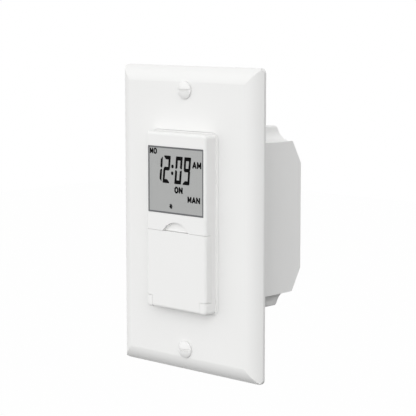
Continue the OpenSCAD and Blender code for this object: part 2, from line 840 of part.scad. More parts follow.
module film_capacitor() {
  cap_w = 6;
  cap_l = 18;
  cap_h = 12;
  color([0.75, 0.7, 0.2]) translate([side_x, 0, relay_z])
    deep(power_back_y, power_back_y + cap_h) rounded(cap_w, cap_l, 0.6);
}

module smoothing_capacitor() {
  cap_r = 5;
  cap_h = 16;
  rim = 0.5;
  color([0.12, 0.15, 0.3]) translate([smoothing_x, 0, smoothing_z]) {
    rod_y(cap_r, power_back_y, power_back_y + 1.6);
    rod_y(cap_r - rim, power_back_y, power_back_y + 2.6);
    rod_y(cap_r, power_back_y + 2.4, power_back_y + cap_h);
  }
}

module varistor() {
  disc_r = 5;
  disc_t = 4;
  lead_r = 0.35;
  color([0.2, 0.35, 0.6]) translate([side_x, 0, varistor_z]) {
    translate([0, power_back_y + disc_r + 1.2, 0]) cylinder(r = disc_r, h = disc_t, center = true);
    for (s = [-1, 1]) translate([s * 2.5, 0, 0]) rod_y(lead_r, power_back_y, power_back_y + disc_r);
  }
}

module fuse() {
  fuse_r = 1.8;
  fuse_l = 7.6;
  lift = 0.6;
  lead_r = 0.35;
  color([0.75, 0.75, 0.7]) translate([middle_x, power_back_y, fuse_z]) {
    translate([0, fuse_r + lift, 0]) rod_x(fuse_r, -fuse_l / 2, fuse_l / 2);
    for (s = [-1, 1]) translate([s * (fuse_l / 2 - 0.8), 0, 0]) rod_y(lead_r, 0, fuse_r);
  }
}

module bridge_rectifier() {
  bridge_l = 8;
  bridge_w = 6.4;
  bridge_h = 3.2;
  bridge_corner_r = 0.5;
  color([0.12, 0.12, 0.13]) translate([middle_x, 0, bridge_z])
    deep(power_back_y, power_back_y + bridge_h) rounded(bridge_l, bridge_w, bridge_corner_r);
}

terminal_z0 = terminal_z - terminal_depth / 2;
terminal_z1 = terminal_z + terminal_depth / 2;
cell_top_y = terminal_top - wire_bore_len;
cell_floor_y = power_back_y + terminal_floor;
terminal_cell_h = cell_top_y - cell_floor_y;

module wire_row() {
  for (i = [-1:1]) translate([i * wire_pitch, 0, terminal_z]) children();
}

module terminal_block() {
  color([0.25, 0.27, 0.3]) difference() {
    box([-terminal_w / 2, power_back_y, terminal_z0], [terminal_w / 2, terminal_top, terminal_z1]);
    wire_row() {
      rod_y(wire_r, cell_top_y - cut, terminal_top + cut);
      box([-terminal_cell_w / 2, cell_floor_y, 2 - terminal_depth / 2],
          [terminal_cell_w / 2, cell_top_y, terminal_depth]);
    }
  }
}

module terminal_bars() {
  bar_w = terminal_cell_w - 1;
  bar_t = 1;
  back_z = 2 - terminal_depth / 2;
  color(copper) wire_row()
    box([-bar_w / 2, cell_floor_y, back_z], [bar_w / 2, cell_top_y, back_z + bar_t]);
}

module terminal_springs() {
  spring_w = terminal_cell_w - 2;
  leaf_t = 0.4;
  z_in = terminal_depth / 2 - 0.2;
  bend_r = 2.4;
  color(steel_grey) wire_row() {
    wide(-spring_w / 2, spring_w / 2) {
      translate([cell_floor_y, z_in - leaf_t]) square([terminal_cell_h - bend_r, leaf_t]);
      translate([cell_floor_y, z_in - 2 * bend_r]) square([leaf_t, 2 * bend_r]);
      translate([cell_floor_y, z_in - 2 * bend_r])
        rotate(-12) square([terminal_cell_h - 2 * bend_r, leaf_t]);
    }
  }
}

// Outline of the housing seen from behind, drawn in by a distance
module housing_outline(inset) {
  full_w = house_w - 2 * inset;
  full_h = house_h - 2 * inset;
  thin_w = neck_w - 2 * inset;
  thin_h = neck_h - 2 * inset;
  r = max(house_corner_r - inset, 0.2);
  cove = cove_r + inset * 0.4;
  square([full_w, full_h], center = true);
  rounded(thin_w, thin_h, r);
  for (sx = [-1, 1], sz = [-1, 1]) scale([sx, sz]) translate([thin_w / 2, full_h / 2])
    difference() {
      translate([-cut, -cut]) square(min(cove, (full_w - thin_w) / 2) + cut);
      translate([cove, cove]) circle(cove);
    }
}

// Side view of the housing with its two sloped backs, drawn in by a distance
module housing_side(inset, y0) {
  flat = back_h / 2 - (inset > 0 ? inset * (slope_s - 1) / slope_k : 0);
  top = neck_h / 2 - inset;
  deepest = house_depth - inset;
  shallow = deepest - (top - flat) * slope_k;
  polygon([[y0, -top], [shallow, -top], [deepest, -flat], [deepest, flat], [shallow, top], [y0, top]]);
}

module housing_shell() {
  lip_t = 0.9;
  lip_h = 1.1;
  lip_len = 8;
  difference() {
    intersection() {
      deep(0, house_depth) housing_outline(0);
      wide(-house_w, house_w) housing_side(0, 0);
    }
    intersection() {
      deep(-cut, house_depth) housing_outline(house_wall);
      wide(-house_w, house_w) housing_side(house_wall, -cut);
    }
  }
  for (s = [-1, 1])
    translate([s * (house_in_x - lip_t / 2 + 0.1), power_board_y - screw_gap - lip_h / 2, 0])
      cube([lip_t + 0.2, lip_h, lip_len], center = true);
}

module rear_housing() {
  slot_w = 4;
  slot_h = 1.2;
  slot_z = wire_r + 2.4;
  color(plastic_white) difference() {
    union() {
      housing_shell();
      for (sx = [-1, 1], sz = [-1, 1]) translate([sx * post_x, 0, sz * post_z]) {
        rod_y(post_neck_r, 0, power_back_y + lap);
        rod_y(post_r, power_back_y, back_in_y + lap);
      }
    }
    for (sx = [-1, 1], sz = [-1, 1]) translate([sx * post_x, 0, sz * post_z]) {
      rod_y(post_hole_r, -cut, house_depth + cut);
      rod_y(house_head_r + slide_gap, house_depth - head_recess, house_depth + cut);
    }
    for (sx = [-1, 1], sz = [-1, 1]) translate([sx * boss_x, 0, sz * boss_z])
      rod_y(board_screw_head_r + seat_gap, -cut, board_screw_head_h + slide_gap);
    wire_row() {
      rod_y(wire_r, back_in_y - cut, house_depth + cut);
      translate([0, 0, slot_z])
        deep(back_in_y - cut, house_depth + cut) square([slot_w, slot_h], center = true);
    }
  }
}

module housing_screws() {
  tip_y = 0.2 - strap_t;
  seat_y = house_depth - head_recess;
  color(steel_grey) for (sx = [-1, 1], sz = [-1, 1])
    translate([sx * post_x, 0, sz * post_z]) difference() {
      union() {
        rod_y(house_screw_r, tip_y, seat_y + 0.2);
        rod_y(house_head_r, seat_y, seat_y + house_head_h);
      }
      box([-1.5, seat_y + house_head_h - 1, -0.3], [1.5, house_depth, 0.3]);
      box([-0.3, seat_y + house_head_h - 1, -1.5], [0.3, house_depth, 1.5]);
    }
}

// Section across the door: a front with round corners and a skirt at each side
module door_section() {
  skirt_y = panel_y - door_gap;
  inner_half = face_w / 2 - door_skirt_t;
  intersection() {
    difference() {
      front_section(face_w, front_y, panel_drop * 2, bezel_edge_r);
      translate([-inner_half, front_y + door_t]) square([2 * inner_half, panel_drop * 2]);
    }
    translate([-face_w, front_y]) square([2 * face_w, skirt_y - front_y]);
  }
}

module door() {
  tongue_x = knuckle_x - door_gap;
  color(plastic_white) {
    difference() {
      tall(hinge_z, door_top_z - door_gap) door_section();
      for (s = [-1, 1]) translate([s * (tongue_x + face_w / 2), hinge_y, hinge_z])
        rod_x(knuckle_r + knuckle_gap, -face_w / 2, face_w / 2);
    }
    translate([0, hinge_y, hinge_z]) {
      rod_x(hinge_r, -tongue_x, tongue_x);
      rod_x(hinge_pin_r, -knuckle_x - hinge_pin_len, knuckle_x + hinge_pin_len);
    }
  }
}

wall_plate();
plate_screws();
mounting_strap();
ground_screw();
front_bezel();
lcd_window();
lcd_glass();
lcd_holder();
zebra_strips();
control_board();
board_screws();
tact_switches();
control_chip();
clock_crystal();
cell_holder();
backup_cell();
board_header();
board_socket();
power_board();
relay_base();
relay_yoke();
relay_coil();
relay_contacts();
relay_cover();
relay_armature();
film_capacitor();
smoothing_capacitor();
varistor();
fuse();
bridge_rectifier();
terminal_block();
terminal_springs();
terminal_bars();
rear_housing();
housing_screws();
door();
push_button(0);  // mode_button
push_button(1);  // program_button
push_button(2);  // day_button
push_button(3);  // hour_button
push_button(4);  // minute_button
push_button(5);  // on_off_button
reset_button();
push_plunger(0);  // mode_plunger
push_plunger(1);  // program_plunger
push_plunger(2);  // day_plunger
push_plunger(3);  // hour_plunger
push_plunger(4);  // minute_plunger
push_plunger(5);  // on_off_plunger
reset_plunger();
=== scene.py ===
"""Dresses the in-wall timer light switch: finishes, fine shapes, display, studio and camera."""

import logging
import math
from dataclasses import dataclass, field
from enum import Enum
from typing import Any, Iterable, Sequence

import bmesh
import bpy
from mathutils import Matrix, Vector


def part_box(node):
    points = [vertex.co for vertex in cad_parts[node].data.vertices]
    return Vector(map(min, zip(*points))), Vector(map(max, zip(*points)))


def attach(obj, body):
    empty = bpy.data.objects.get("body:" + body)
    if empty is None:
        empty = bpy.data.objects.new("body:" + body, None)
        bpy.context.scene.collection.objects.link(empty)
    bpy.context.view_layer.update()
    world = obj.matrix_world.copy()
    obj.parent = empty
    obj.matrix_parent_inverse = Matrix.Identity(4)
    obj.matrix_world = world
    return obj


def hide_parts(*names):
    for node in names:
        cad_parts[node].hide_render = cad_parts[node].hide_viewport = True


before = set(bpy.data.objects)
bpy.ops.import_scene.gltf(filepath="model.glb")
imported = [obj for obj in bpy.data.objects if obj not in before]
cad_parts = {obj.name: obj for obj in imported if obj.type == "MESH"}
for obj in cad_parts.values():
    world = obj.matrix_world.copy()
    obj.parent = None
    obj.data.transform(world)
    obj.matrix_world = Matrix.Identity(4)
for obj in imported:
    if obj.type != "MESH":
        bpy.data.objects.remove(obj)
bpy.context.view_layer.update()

Rgba = tuple[float, float, float, float]
log = logging.getLogger("timer_switch")

MM = 0.001
FULL_TURN = 2 * math.pi
QUARTER_TURN = math.pi / 2
# Points of a turned shape that lie closer than this, in millimetres, are one point
MERGE_MM = 0.001
# Distance in millimetres within which a point counts as being at a place
NEAR_MM = 0.002
# Cosine above which two directions count as the same
PARALLEL = 0.999


def linear(code: str) -> Rgba:
    """Turns an sRGB hex colour into linear colour.

    Args:
        code: six hex digits, red first.

    Returns:
        Red, green, blue and an alpha of 1.
    """
    parts = [int(code[i:i + 2], 16) / 255 for i in (0, 2, 4)]
    red, green, blue = (c / 12.92 if c <= 0.04045 else ((c + 0.055) / 1.055) ** 2.4 for c in parts)
    return red, green, blue, 1.0


def add(tree: bpy.types.NodeTree, kind: str, inputs: dict[Any, Any] | None = None,
        **settings: Any) -> bpy.types.Node:
    """Adds a node with its settings and its links.

    Args:
        tree: the node tree that gets the node.
        kind: the node's type name.
        inputs: socket name or number to a value, or to the socket that feeds it.
        settings: the node's own properties.

    Returns:
        The new node.
    """
    made = tree.nodes.new(kind)
    for key, value in settings.items():
        setattr(made, key, value)
    for key, value in (inputs or {}).items():
        if isinstance(value, bpy.types.NodeSocket):
            tree.links.new(value, made.inputs[key])
        else:
            made.inputs[key].default_value = value
    return made


def per_metre(size_mm: float) -> float:
    """Gives the texture scale at which a pattern repeats about every size_mm."""
    return 1 / (size_mm * MM)


class Grain(Enum):
    """How a surface was made, which sets the pattern its bump and gloss follow."""

    MOULDED = "moulded"
    PLATED = "plated"
    DRAWN = "drawn"
    WOVEN = "woven"
    WOUND = "wound"
    STRIPED = "striped"


# The axes along which the bands of a grain follow each other
BAND_AXES: dict[Grain, str] = {Grain.WOUND: "Y", Grain.STRIPED: "X", Grain.WOVEN: "XZ"}
# At a scale of 1 a wave texture repeats every 2 pi over 20 of a unit
WAVE_REPEAT = math.pi / 10
# How much the bands stray from a straight line
BAND_STRAY = 0.2
# Scale of a drawn surface's pattern along Y, which stretches it into lines
DRAWN_SCALE = 0.08
# Size of the slow change between a finish's two colours
CLOUD_MM = 14
# Share by which the gloss varies over the pattern
GLOSS_SPREAD = 0.1
# Weight of the pattern's bump
BUMP_STRENGTH = 0.6


@dataclass(frozen=True)
class Finish:
    """One finish: what the real material is and how its surface looks.

    Attributes:
        name: the material's name.
        colour: its colour as sRGB hex.
        shade: the slightly darker colour its variation reaches.
        roughness: the middle of its gloss.
        grain: how the surface was made.
        grain_mm: size of the pattern.
        bump_mm: height of the pattern.
        metallic: 1 for bare metal.
        ior: index of refraction of what isn't metal.
        alpha: how much of the light it stops.
        coat: weight of a clear gloss on top.
        specular: how much of the usual mirror gloss it has, 0.5 for all of it.
    """

    name: str
    colour: str
    shade: str
    roughness: float
    grain: Grain = Grain.MOULDED
    grain_mm: float = 0.7
    bump_mm: float = 0.004
    metallic: float = 0.0
    ior: float = 1.5
    alpha: float = 1.0
    coat: float = 0.0
    specular: float = 0.5

    def material(self) -> bpy.types.Material:
        """Builds the finish, or finds it where it is built already.

        Returns:
            The material.
        """
        known = bpy.data.materials.get(self.name)
        if known is not None:
            return known
        made = bpy.data.materials.new(self.name)
        made.use_nodes = True
        tree = made.node_tree
        tree.nodes.clear()
        place = add(tree, "ShaderNodeTexCoord").outputs["Object"]
        pattern = self.pattern(tree, place)
        cloud = add(tree, "ShaderNodeTexNoise", {
            "Vector": place, "Scale": per_metre(CLOUD_MM), "Detail": 3.0}).outputs["Fac"]
        # A colour mix has its colours on sockets 6 and 7 and its result on output 2
        tint = add(tree, "ShaderNodeMix", {
            0: cloud, 6: linear(self.colour), 7: linear(self.shade)}, data_type="RGBA")
        gloss = add(tree, "ShaderNodeMapRange", {
            "Value": pattern, "To Min": self.roughness * (1 - GLOSS_SPREAD),
            "To Max": self.roughness * (1 + GLOSS_SPREAD)})
        bump = add(tree, "ShaderNodeBump", {
            "Height": pattern, "Strength": BUMP_STRENGTH, "Distance": self.bump_mm * MM})
        shader = add(tree, "ShaderNodeBsdfPrincipled", {
            "Base Color": tint.outputs[2], "Roughness": gloss.outputs["Result"],
            "Normal": bump.outputs["Normal"], "Metallic": self.metallic, "Alpha": self.alpha,
            "Coat Weight": self.coat, "Specular IOR Level": self.specular})
        if not self.metallic:
            shader.inputs["IOR"].default_value = self.ior
        add(tree, "ShaderNodeOutputMaterial", {"Surface": shader.outputs["BSDF"]})
        return made

    def pattern(self, tree: bpy.types.NodeTree,
                place: bpy.types.NodeSocket) -> bpy.types.NodeSocket:
        """Adds the height pattern of the surface.

        Args:
            tree: the material's node tree.
            place: the coordinates it reads.

        Returns:
            The socket that gives the height from 0 to 1.
        """
        scale = per_metre(self.grain_mm)
        if self.grain in BAND_AXES:
            bands = [add(tree, "ShaderNodeTexWave", {
                "Vector": place, "Scale": scale * WAVE_REPEAT, "Distortion": BAND_STRAY},
                bands_direction=axis).outputs["Fac"] for axis in BAND_AXES[self.grain]]
            if len(bands) == 1:
                return bands[0]
            return add(tree, "ShaderNodeMath", {0: bands[0], 1: bands[1]},
                       operation="MULTIPLY").outputs["Value"]
        if self.grain is Grain.PLATED:
            return add(tree, "ShaderNodeTexVoronoi", {"Vector": place, "Scale": scale},
                       feature="SMOOTH_F1").outputs["Distance"]
        if self.grain is Grain.DRAWN:
            place = add(tree, "ShaderNodeMapping", {
                "Vector": place, "Scale": (1.0, DRAWN_SCALE, 1.0)}).outputs["Vector"]
        return add(tree, "ShaderNodeTexNoise", {
            "Vector": place, "Scale": scale, "Detail": 2.0}).outputs["Fac"]


# White ABS from a finely spark-eroded mould: a satin skin whose highlights spread softly.
# The mould's grit, about 0.1 mm, is too fine to show, so it is drawn at 0.7 mm.
WHITE_ABS = Finish("white_abs_moulded", "E9E9E8", "E7E7E6", 0.42, specular=0.3)
# The housing is ABS from a coarser mould with less gloss. Its colour is whiter than the plate's,
# which is painted light that brightens its shaded sides.
HOUSING_ABS_PAINTED_LIGHT = Finish("white_abs_coarse_moulded", "F6F6F5", "F3F3F2", 0.5, grain_mm=0.9,
                     bump_mm=0.006, specular=0.3)
# Buttons are light grey ABS, smoother where fingers press.
BUTTON_ABS = Finish("grey_abs_moulded", "D2D5D7", "CED1D3", 0.38)
# Enamel baked on steel screws: smooth and a little glossier than the plate.
WHITE_ENAMEL = Finish("white_baked_enamel", "E9E9E8", "E7E7E6", 0.32, grain_mm=1.2,
                      bump_mm=0.003, specular=0.4)
# Zinc plate on pressed steel: pale, bluish and faintly spangled.
ZINC_STEEL = Finish("zinc_plated_steel", "C3C7CB", "B4B9BE", 0.36, Grain.PLATED, 1.1, 0.004, 1.0)
# Green-dyed zinc on the ground screw: a metal sheen under clear green.
GREEN_ZINC = Finish("green_dyed_zinc", "4E8E5C", "3F7B4D", 0.34, Grain.PLATED, 0.9, 0.004, 1.0)
# Clear polycarbonate: nearly all the light passes, and only a trace of haze and gloss remains.
CLEAR_SHEET = Finish("clear_polycarbonate", "D8DAD9", "D6D8D7", 0.16, grain_mm=6, bump_mm=0.002,
                     ior=1.58, alpha=0.006)
# The display's rear polariser: flat neutral grey with a faint silvery grain.
POLARISER = Finish("reflective_polariser", "A6A7A6", "A4A5A4", 0.55, grain_mm=0.5, bump_mm=0.002)
# Liquid crystal that is switched on reads as near-black.
DARK_CRYSTAL = Finish("switched_liquid_crystal", "040405", "030304", 0.5, bump_mm=0.001,
                      specular=0.01)
# Screen-printed legends: matt grey ink.
GREY_INK = Finish("screen_printed_grey_ink", "7C7E80", "76787A", 0.6, bump_mm=0.001)
# The window's border: a darker matt ink behind the clear sheet, partly print and partly painted
# shade of the window's recess.
BORDER_INK_AND_SHADE = Finish("border_ink_and_painted_shade", "6C6E70", "68696B", 0.6, bump_mm=0.001,
                    specular=0.2)
# Unpigmented nylon: a warm, slightly waxy white.
NATURAL_NYLON = Finish("natural_nylon", "E2DDCE", "DBD5C4", 0.45)
# Silicone with conductive layers: fine ribs across a pink strip that is clouded with black.
ZEBRA_SILICONE = Finish("layered_silicone", "C98A92", "2A2426", 0.6, Grain.STRIPED, 0.4, 0.003)
# Glass-fibre board under green solder mask: the weave shows faintly through the gloss.
SOLDER_MASK = Finish("solder_masked_board", "23603F", "1C5235", 0.3, Grain.WOVEN, 0.5, 0.006,
                     coat=0.3)
# Black glass-filled polyester: dark, with a dry sheen.
BLACK_POLYESTER = Finish("black_filled_polyester", "232427", "1D1E20", 0.48, grain_mm=0.5,
                         bump_mm=0.006)
# Nickel on the cell's steel can: warm and fairly bright.
NICKEL_CAN = Finish("nickel_plated_can", "C8C6BE", "BBB9B0", 0.28, Grain.DRAWN, 0.5, 0.003, 1.0)
# Enamelled copper wire: reddish and shiny. Its fine lines are drawn at 0.4 mm so that they show.
WOUND_COPPER = Finish("enamelled_copper_wire", "A65A34", "84421F", 0.3, Grain.WOUND, 0.4, 0.05, 1.0)
# Stamped brass of the contacts and bars: yellow, with faint lines from rolling.
BRASS = Finish("stamped_brass", "C6A45A", "B8954A", 0.3, Grain.DRAWN, 0.5, 0.003, 1.0)
# Rolled spring steel of the terminals: a cool grey with faint lines along the strip.
SPRING_STEEL = Finish("rolled_spring_steel", "A9ADB2", "9A9EA4", 0.3, Grain.DRAWN, 0.4, 0.003, 1.0)
# The relay's blue polycarbonate cover: even in colour, with a soft gloss.
BLUE_COVER = Finish("blue_polycarbonate", "2F5E9E", "2A558F", 0.35)
# The film capacitor's moulded polyester case: a dull yellow satin.
YELLOW_CASE = Finish("yellow_polyester_case", "CDB741", "C2AB38", 0.4)
# Shrunk vinyl on the electrolytic capacitor: dark blue and shiny.
SHRUNK_VINYL = Finish("shrunk_vinyl_sleeve", "20305C", "1B2950", 0.25, grain_mm=2, bump_mm=0.01)
# Dipped epoxy on the varistor: thick, rounded and glossy.
DIPPED_EPOXY = Finish("dipped_blue_epoxy", "3E72B4", "3666A5", 0.22, grain_mm=3, bump_mm=0.05)
# The fuse's glazed ceramic tube: off-white and smooth.
FUSE_CERAMIC = Finish("glazed_ceramic", "D6D5CC", "CDCCC2", 0.25, grain_mm=1.5)

# The finish that stands for each material slot of the record
SLOT_FINISHES: dict[str, Finish] = {
    "white_plastic": WHITE_ABS, "white_screw": WHITE_ENAMEL, "zinc_steel": ZINC_STEEL,
    "green_screw": GREEN_ZINC, "clear_window": CLEAR_SHEET, "lcd": POLARISER,
    "natural_plastic": NATURAL_NYLON, "zebra_rubber": ZEBRA_SILICONE, "board": SOLDER_MASK,
    "black_plastic": BLACK_POLYESTER, "cell_can": NICKEL_CAN, "copper_winding": WOUND_COPPER,
    "brass_parts": BRASS, "spring_steel": SPRING_STEEL, "blue_plastic": BLUE_COVER,
    "yellow_case": YELLOW_CASE, "capacitor_sleeve": SHRUNK_VINYL, "blue_coating": DIPPED_EPOXY,
    "fuse_body": FUSE_CERAMIC, "housing_plastic": HOUSING_ABS_PAINTED_LIGHT, "button_plastic": BUTTON_ABS,
}


def dress_cad_nodes() -> None:
    """Gives every CAD node the finish of its record's material slot."""
    for name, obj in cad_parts.items():
        for spot in obj.material_slots:
            spot.material = SLOT_FINISHES[spot.material.name].material()
        log.info("dressed %s", name)


def piece(name: str, bm: bmesh.types.BMesh, finish: Finish, body: str,
          replaces: Iterable[str] = ()) -> bpy.types.Object:
    """Turns a finished bmesh in millimetres into a piece that rides on a body.

    Args:
        name: the piece's name.
        bm: the shape, which is freed.
        finish: its finish.
        body: the CAD body that it moves with.
        replaces: the CAD nodes that it stands for.

    Returns:
        The new object.
    """
    mesh = bpy.data.meshes.new(name)
    bmesh.ops.scale(bm, vec=Vector((MM, MM, MM)), verts=bm.verts)
    bm.to_mesh(mesh)
    bm.free()
    mesh.materials.append(finish.material())
    obj = bpy.data.objects.new(name, mesh)
    bpy.context.scene.collection.objects.link(obj)
    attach(obj, body)
    if replaces:
        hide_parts(*replaces)
    log.info("made %s", name)
    return obj


def shade(obj: bpy.types.Object, sharp_deg: float) -> None:
    """Shades a piece smooth, with an edge where two faces meet more sharply than an angle."""
    obj.data.shade_smooth()
    obj.data.set_sharp_from_angle(angle=math.radians(sharp_deg))


def box_mm(node: str) -> tuple[Vector, Vector]:
    """Gives a CAD node's lowest and highest corners in millimetres."""
    low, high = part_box(node)
    return Vector(low) / MM, Vector(high) / MM


def block(low: Sequence[float], high: Sequence[float]) -> bmesh.types.BMesh:
    """Makes a plain block between two corners, to be shaped further.

    Args:
        low: its lowest corner in millimetres.
        high: its highest corner.

    Returns:
        The block as a bmesh.
    """
    bm = bmesh.new()
    bmesh.ops.create_cube(bm, size=1.0)
    a, b = Vector(low), Vector(high)
    bmesh.ops.scale(bm, vec=b - a, verts=bm.verts)
    bmesh.ops.translate(bm, vec=(a + b) / 2, verts=bm.verts)
    return bm


def merged(parts: Sequence[bmesh.types.BMesh]) -> bmesh.types.BMesh:
    """Puts several shapes into one.

    Args:
        parts: the shapes, which are freed.

    Returns:
        One bmesh with all of them.
    """
    whole = bmesh.new()
    for part in parts:
        mesh = bpy.data.meshes.new("part")
        part.to_mesh(mesh)
        part.free()
        whole.from_mesh(mesh)
        bpy.data.meshes.remove(mesh)
    return whole


def along_y(bm: bmesh.types.BMesh) -> list[bmesh.types.BMEdge]:
    """Finds the edges of a shape that run from front to back."""
    return [e for e in bm.edges
            if abs((e.verts[1].co - e.verts[0].co).normalized().y) > PARALLEL]


def foremost(bm: bmesh.types.BMesh) -> bmesh.types.BMFace:
    """Finds the face that lies furthest to the front, and the largest where several do."""
    return min(bm.faces, key=lambda f: (round(f.calc_center_median().y, 4), -f.calc_area()))


def soften(bm: bmesh.types.BMesh, edges: Iterable[bmesh.types.BMEdge], width: float,
           steps: int = 3) -> None:
    """Rounds some edges of a shape.

    Args:
        bm: the shape.
        edges: the edges to round.
        width: how far the rounding reaches from each edge.
        steps: number of strips across the rounding.
    """
    bmesh.ops.bevel(bm, geom=list(edges), offset=width, offset_type="OFFSET", affect="EDGES",
                    segments=steps, profile=0.5, material=-1, clamp_overlap=True)


def extruded(bm: bmesh.types.BMesh,
             faces: Sequence[bmesh.types.BMFace]) -> list[bmesh.types.BMVert]:
    """Extrudes some faces of a shape, and gives the points to be moved."""
    made = bmesh.ops.extrude_face_region(bm, geom=faces)["geom"]
    return [g for g in made if isinstance(g, bmesh.types.BMVert)]


def turned(bm: bmesh.types.BMesh, steps: int) -> None:
    """Turns a profile once round the Y axis.

    Args:
        bm: a shape that holds the profile alone.
        steps: number of faces round the axis.
    """
    bmesh.ops.spin(bm, geom=bm.verts[:] + bm.edges[:], cent=(0, 0, 0), axis=(0, 1, 0),
                   angle=FULL_TURN, steps=steps, use_merge=True)
    bmesh.ops.remove_doubles(bm, verts=bm.verts, dist=MERGE_MM)


def wound(bm: bmesh.types.BMesh, pitch: float, turns: int, steps: int) -> None:
    """Winds a closed ring round the Y axis and closes its two ends.

    Args:
        bm: a shape that holds the ring alone.
        pitch: distance between two turns.
        turns: number of turns.
        steps: number of faces in one turn.
    """
    sides = len(bm.verts)
    bmesh.ops.spin(bm, geom=bm.verts[:] + bm.edges[:], cent=(0, 0, 0), axis=(0, 1, 0),
                   dvec=(0, pitch / steps, 0), angle=FULL_TURN * turns, steps=steps * turns)
    bmesh.ops.holes_fill(bm, edges=bm.edges, sides=sides)
    bmesh.ops.recalc_face_normals(bm, faces=bm.faces)


# Steps along each curve of a letter, and the distance at which its points are merged
LETTER_STEPS = 4
LETTER_MERGE = 0.0005


def lettering(words: str, low: tuple[float, float], high: tuple[float, float], front: float,
              bold: float = 0.0, thick: float = 0.02, behind: bool = False) -> bmesh.types.BMesh:
    """Makes upright letters that fill a rectangle on a face seen from the front or from behind.

    Args:
        words: what they say.
        low: lowest X and Z in millimetres.
        high: highest X and Z.
        front: Y of the face that they stand on.
        bold: how much the strokes are fattened, as a part of the letters' height.
        thick: how far they stand out of the face.
        behind: whether the face looks along +Y.

    Returns:
        The letters as one bmesh in millimetres.
    """
    # They are made about one unit high and thick, and then scaled to fill the rectangle
    curve = bpy.data.curves.new("letters", "FONT")
    curve.body = words
    curve.size = 1.0
    curve.offset = bold
    curve.extrude = 0.5
    curve.resolution_u = LETTER_STEPS
    holder = bpy.data.objects.new("letters", curve)
    mesh = bpy.data.meshes.new_from_object(holder)
    bm = bmesh.new()
    bm.from_mesh(mesh)
    bpy.data.objects.remove(holder)
    bpy.data.curves.remove(curve)
    bpy.data.meshes.remove(mesh)
    bmesh.ops.remove_doubles(bm, verts=bm.verts, dist=LETTER_MERGE)
    bmesh.ops.rotate(bm, verts=bm.verts, matrix=Matrix.Rotation(QUARTER_TURN, 3, "X"))
    if behind:
        bmesh.ops.rotate(bm, verts=bm.verts, matrix=Matrix.Rotation(math.pi, 3, "Z"))
    corner = Vector([min(v.co[i] for v in bm.verts) for i in range(3)])
    span = Vector([max(v.co[i] for v in bm.verts) for i in range(3)]) - corner
    bmesh.ops.translate(bm, vec=-corner, verts=bm.verts)
    bmesh.ops.scale(bm, vec=Vector(((high[0] - low[0]) / span.x, thick / span.y,
                                    (high[1] - low[1]) / span.z)), verts=bm.verts)
    start = front if behind else front - thick
    bmesh.ops.translate(bm, vec=Vector((low[0], start, low[1])), verts=bm.verts)
    return bm


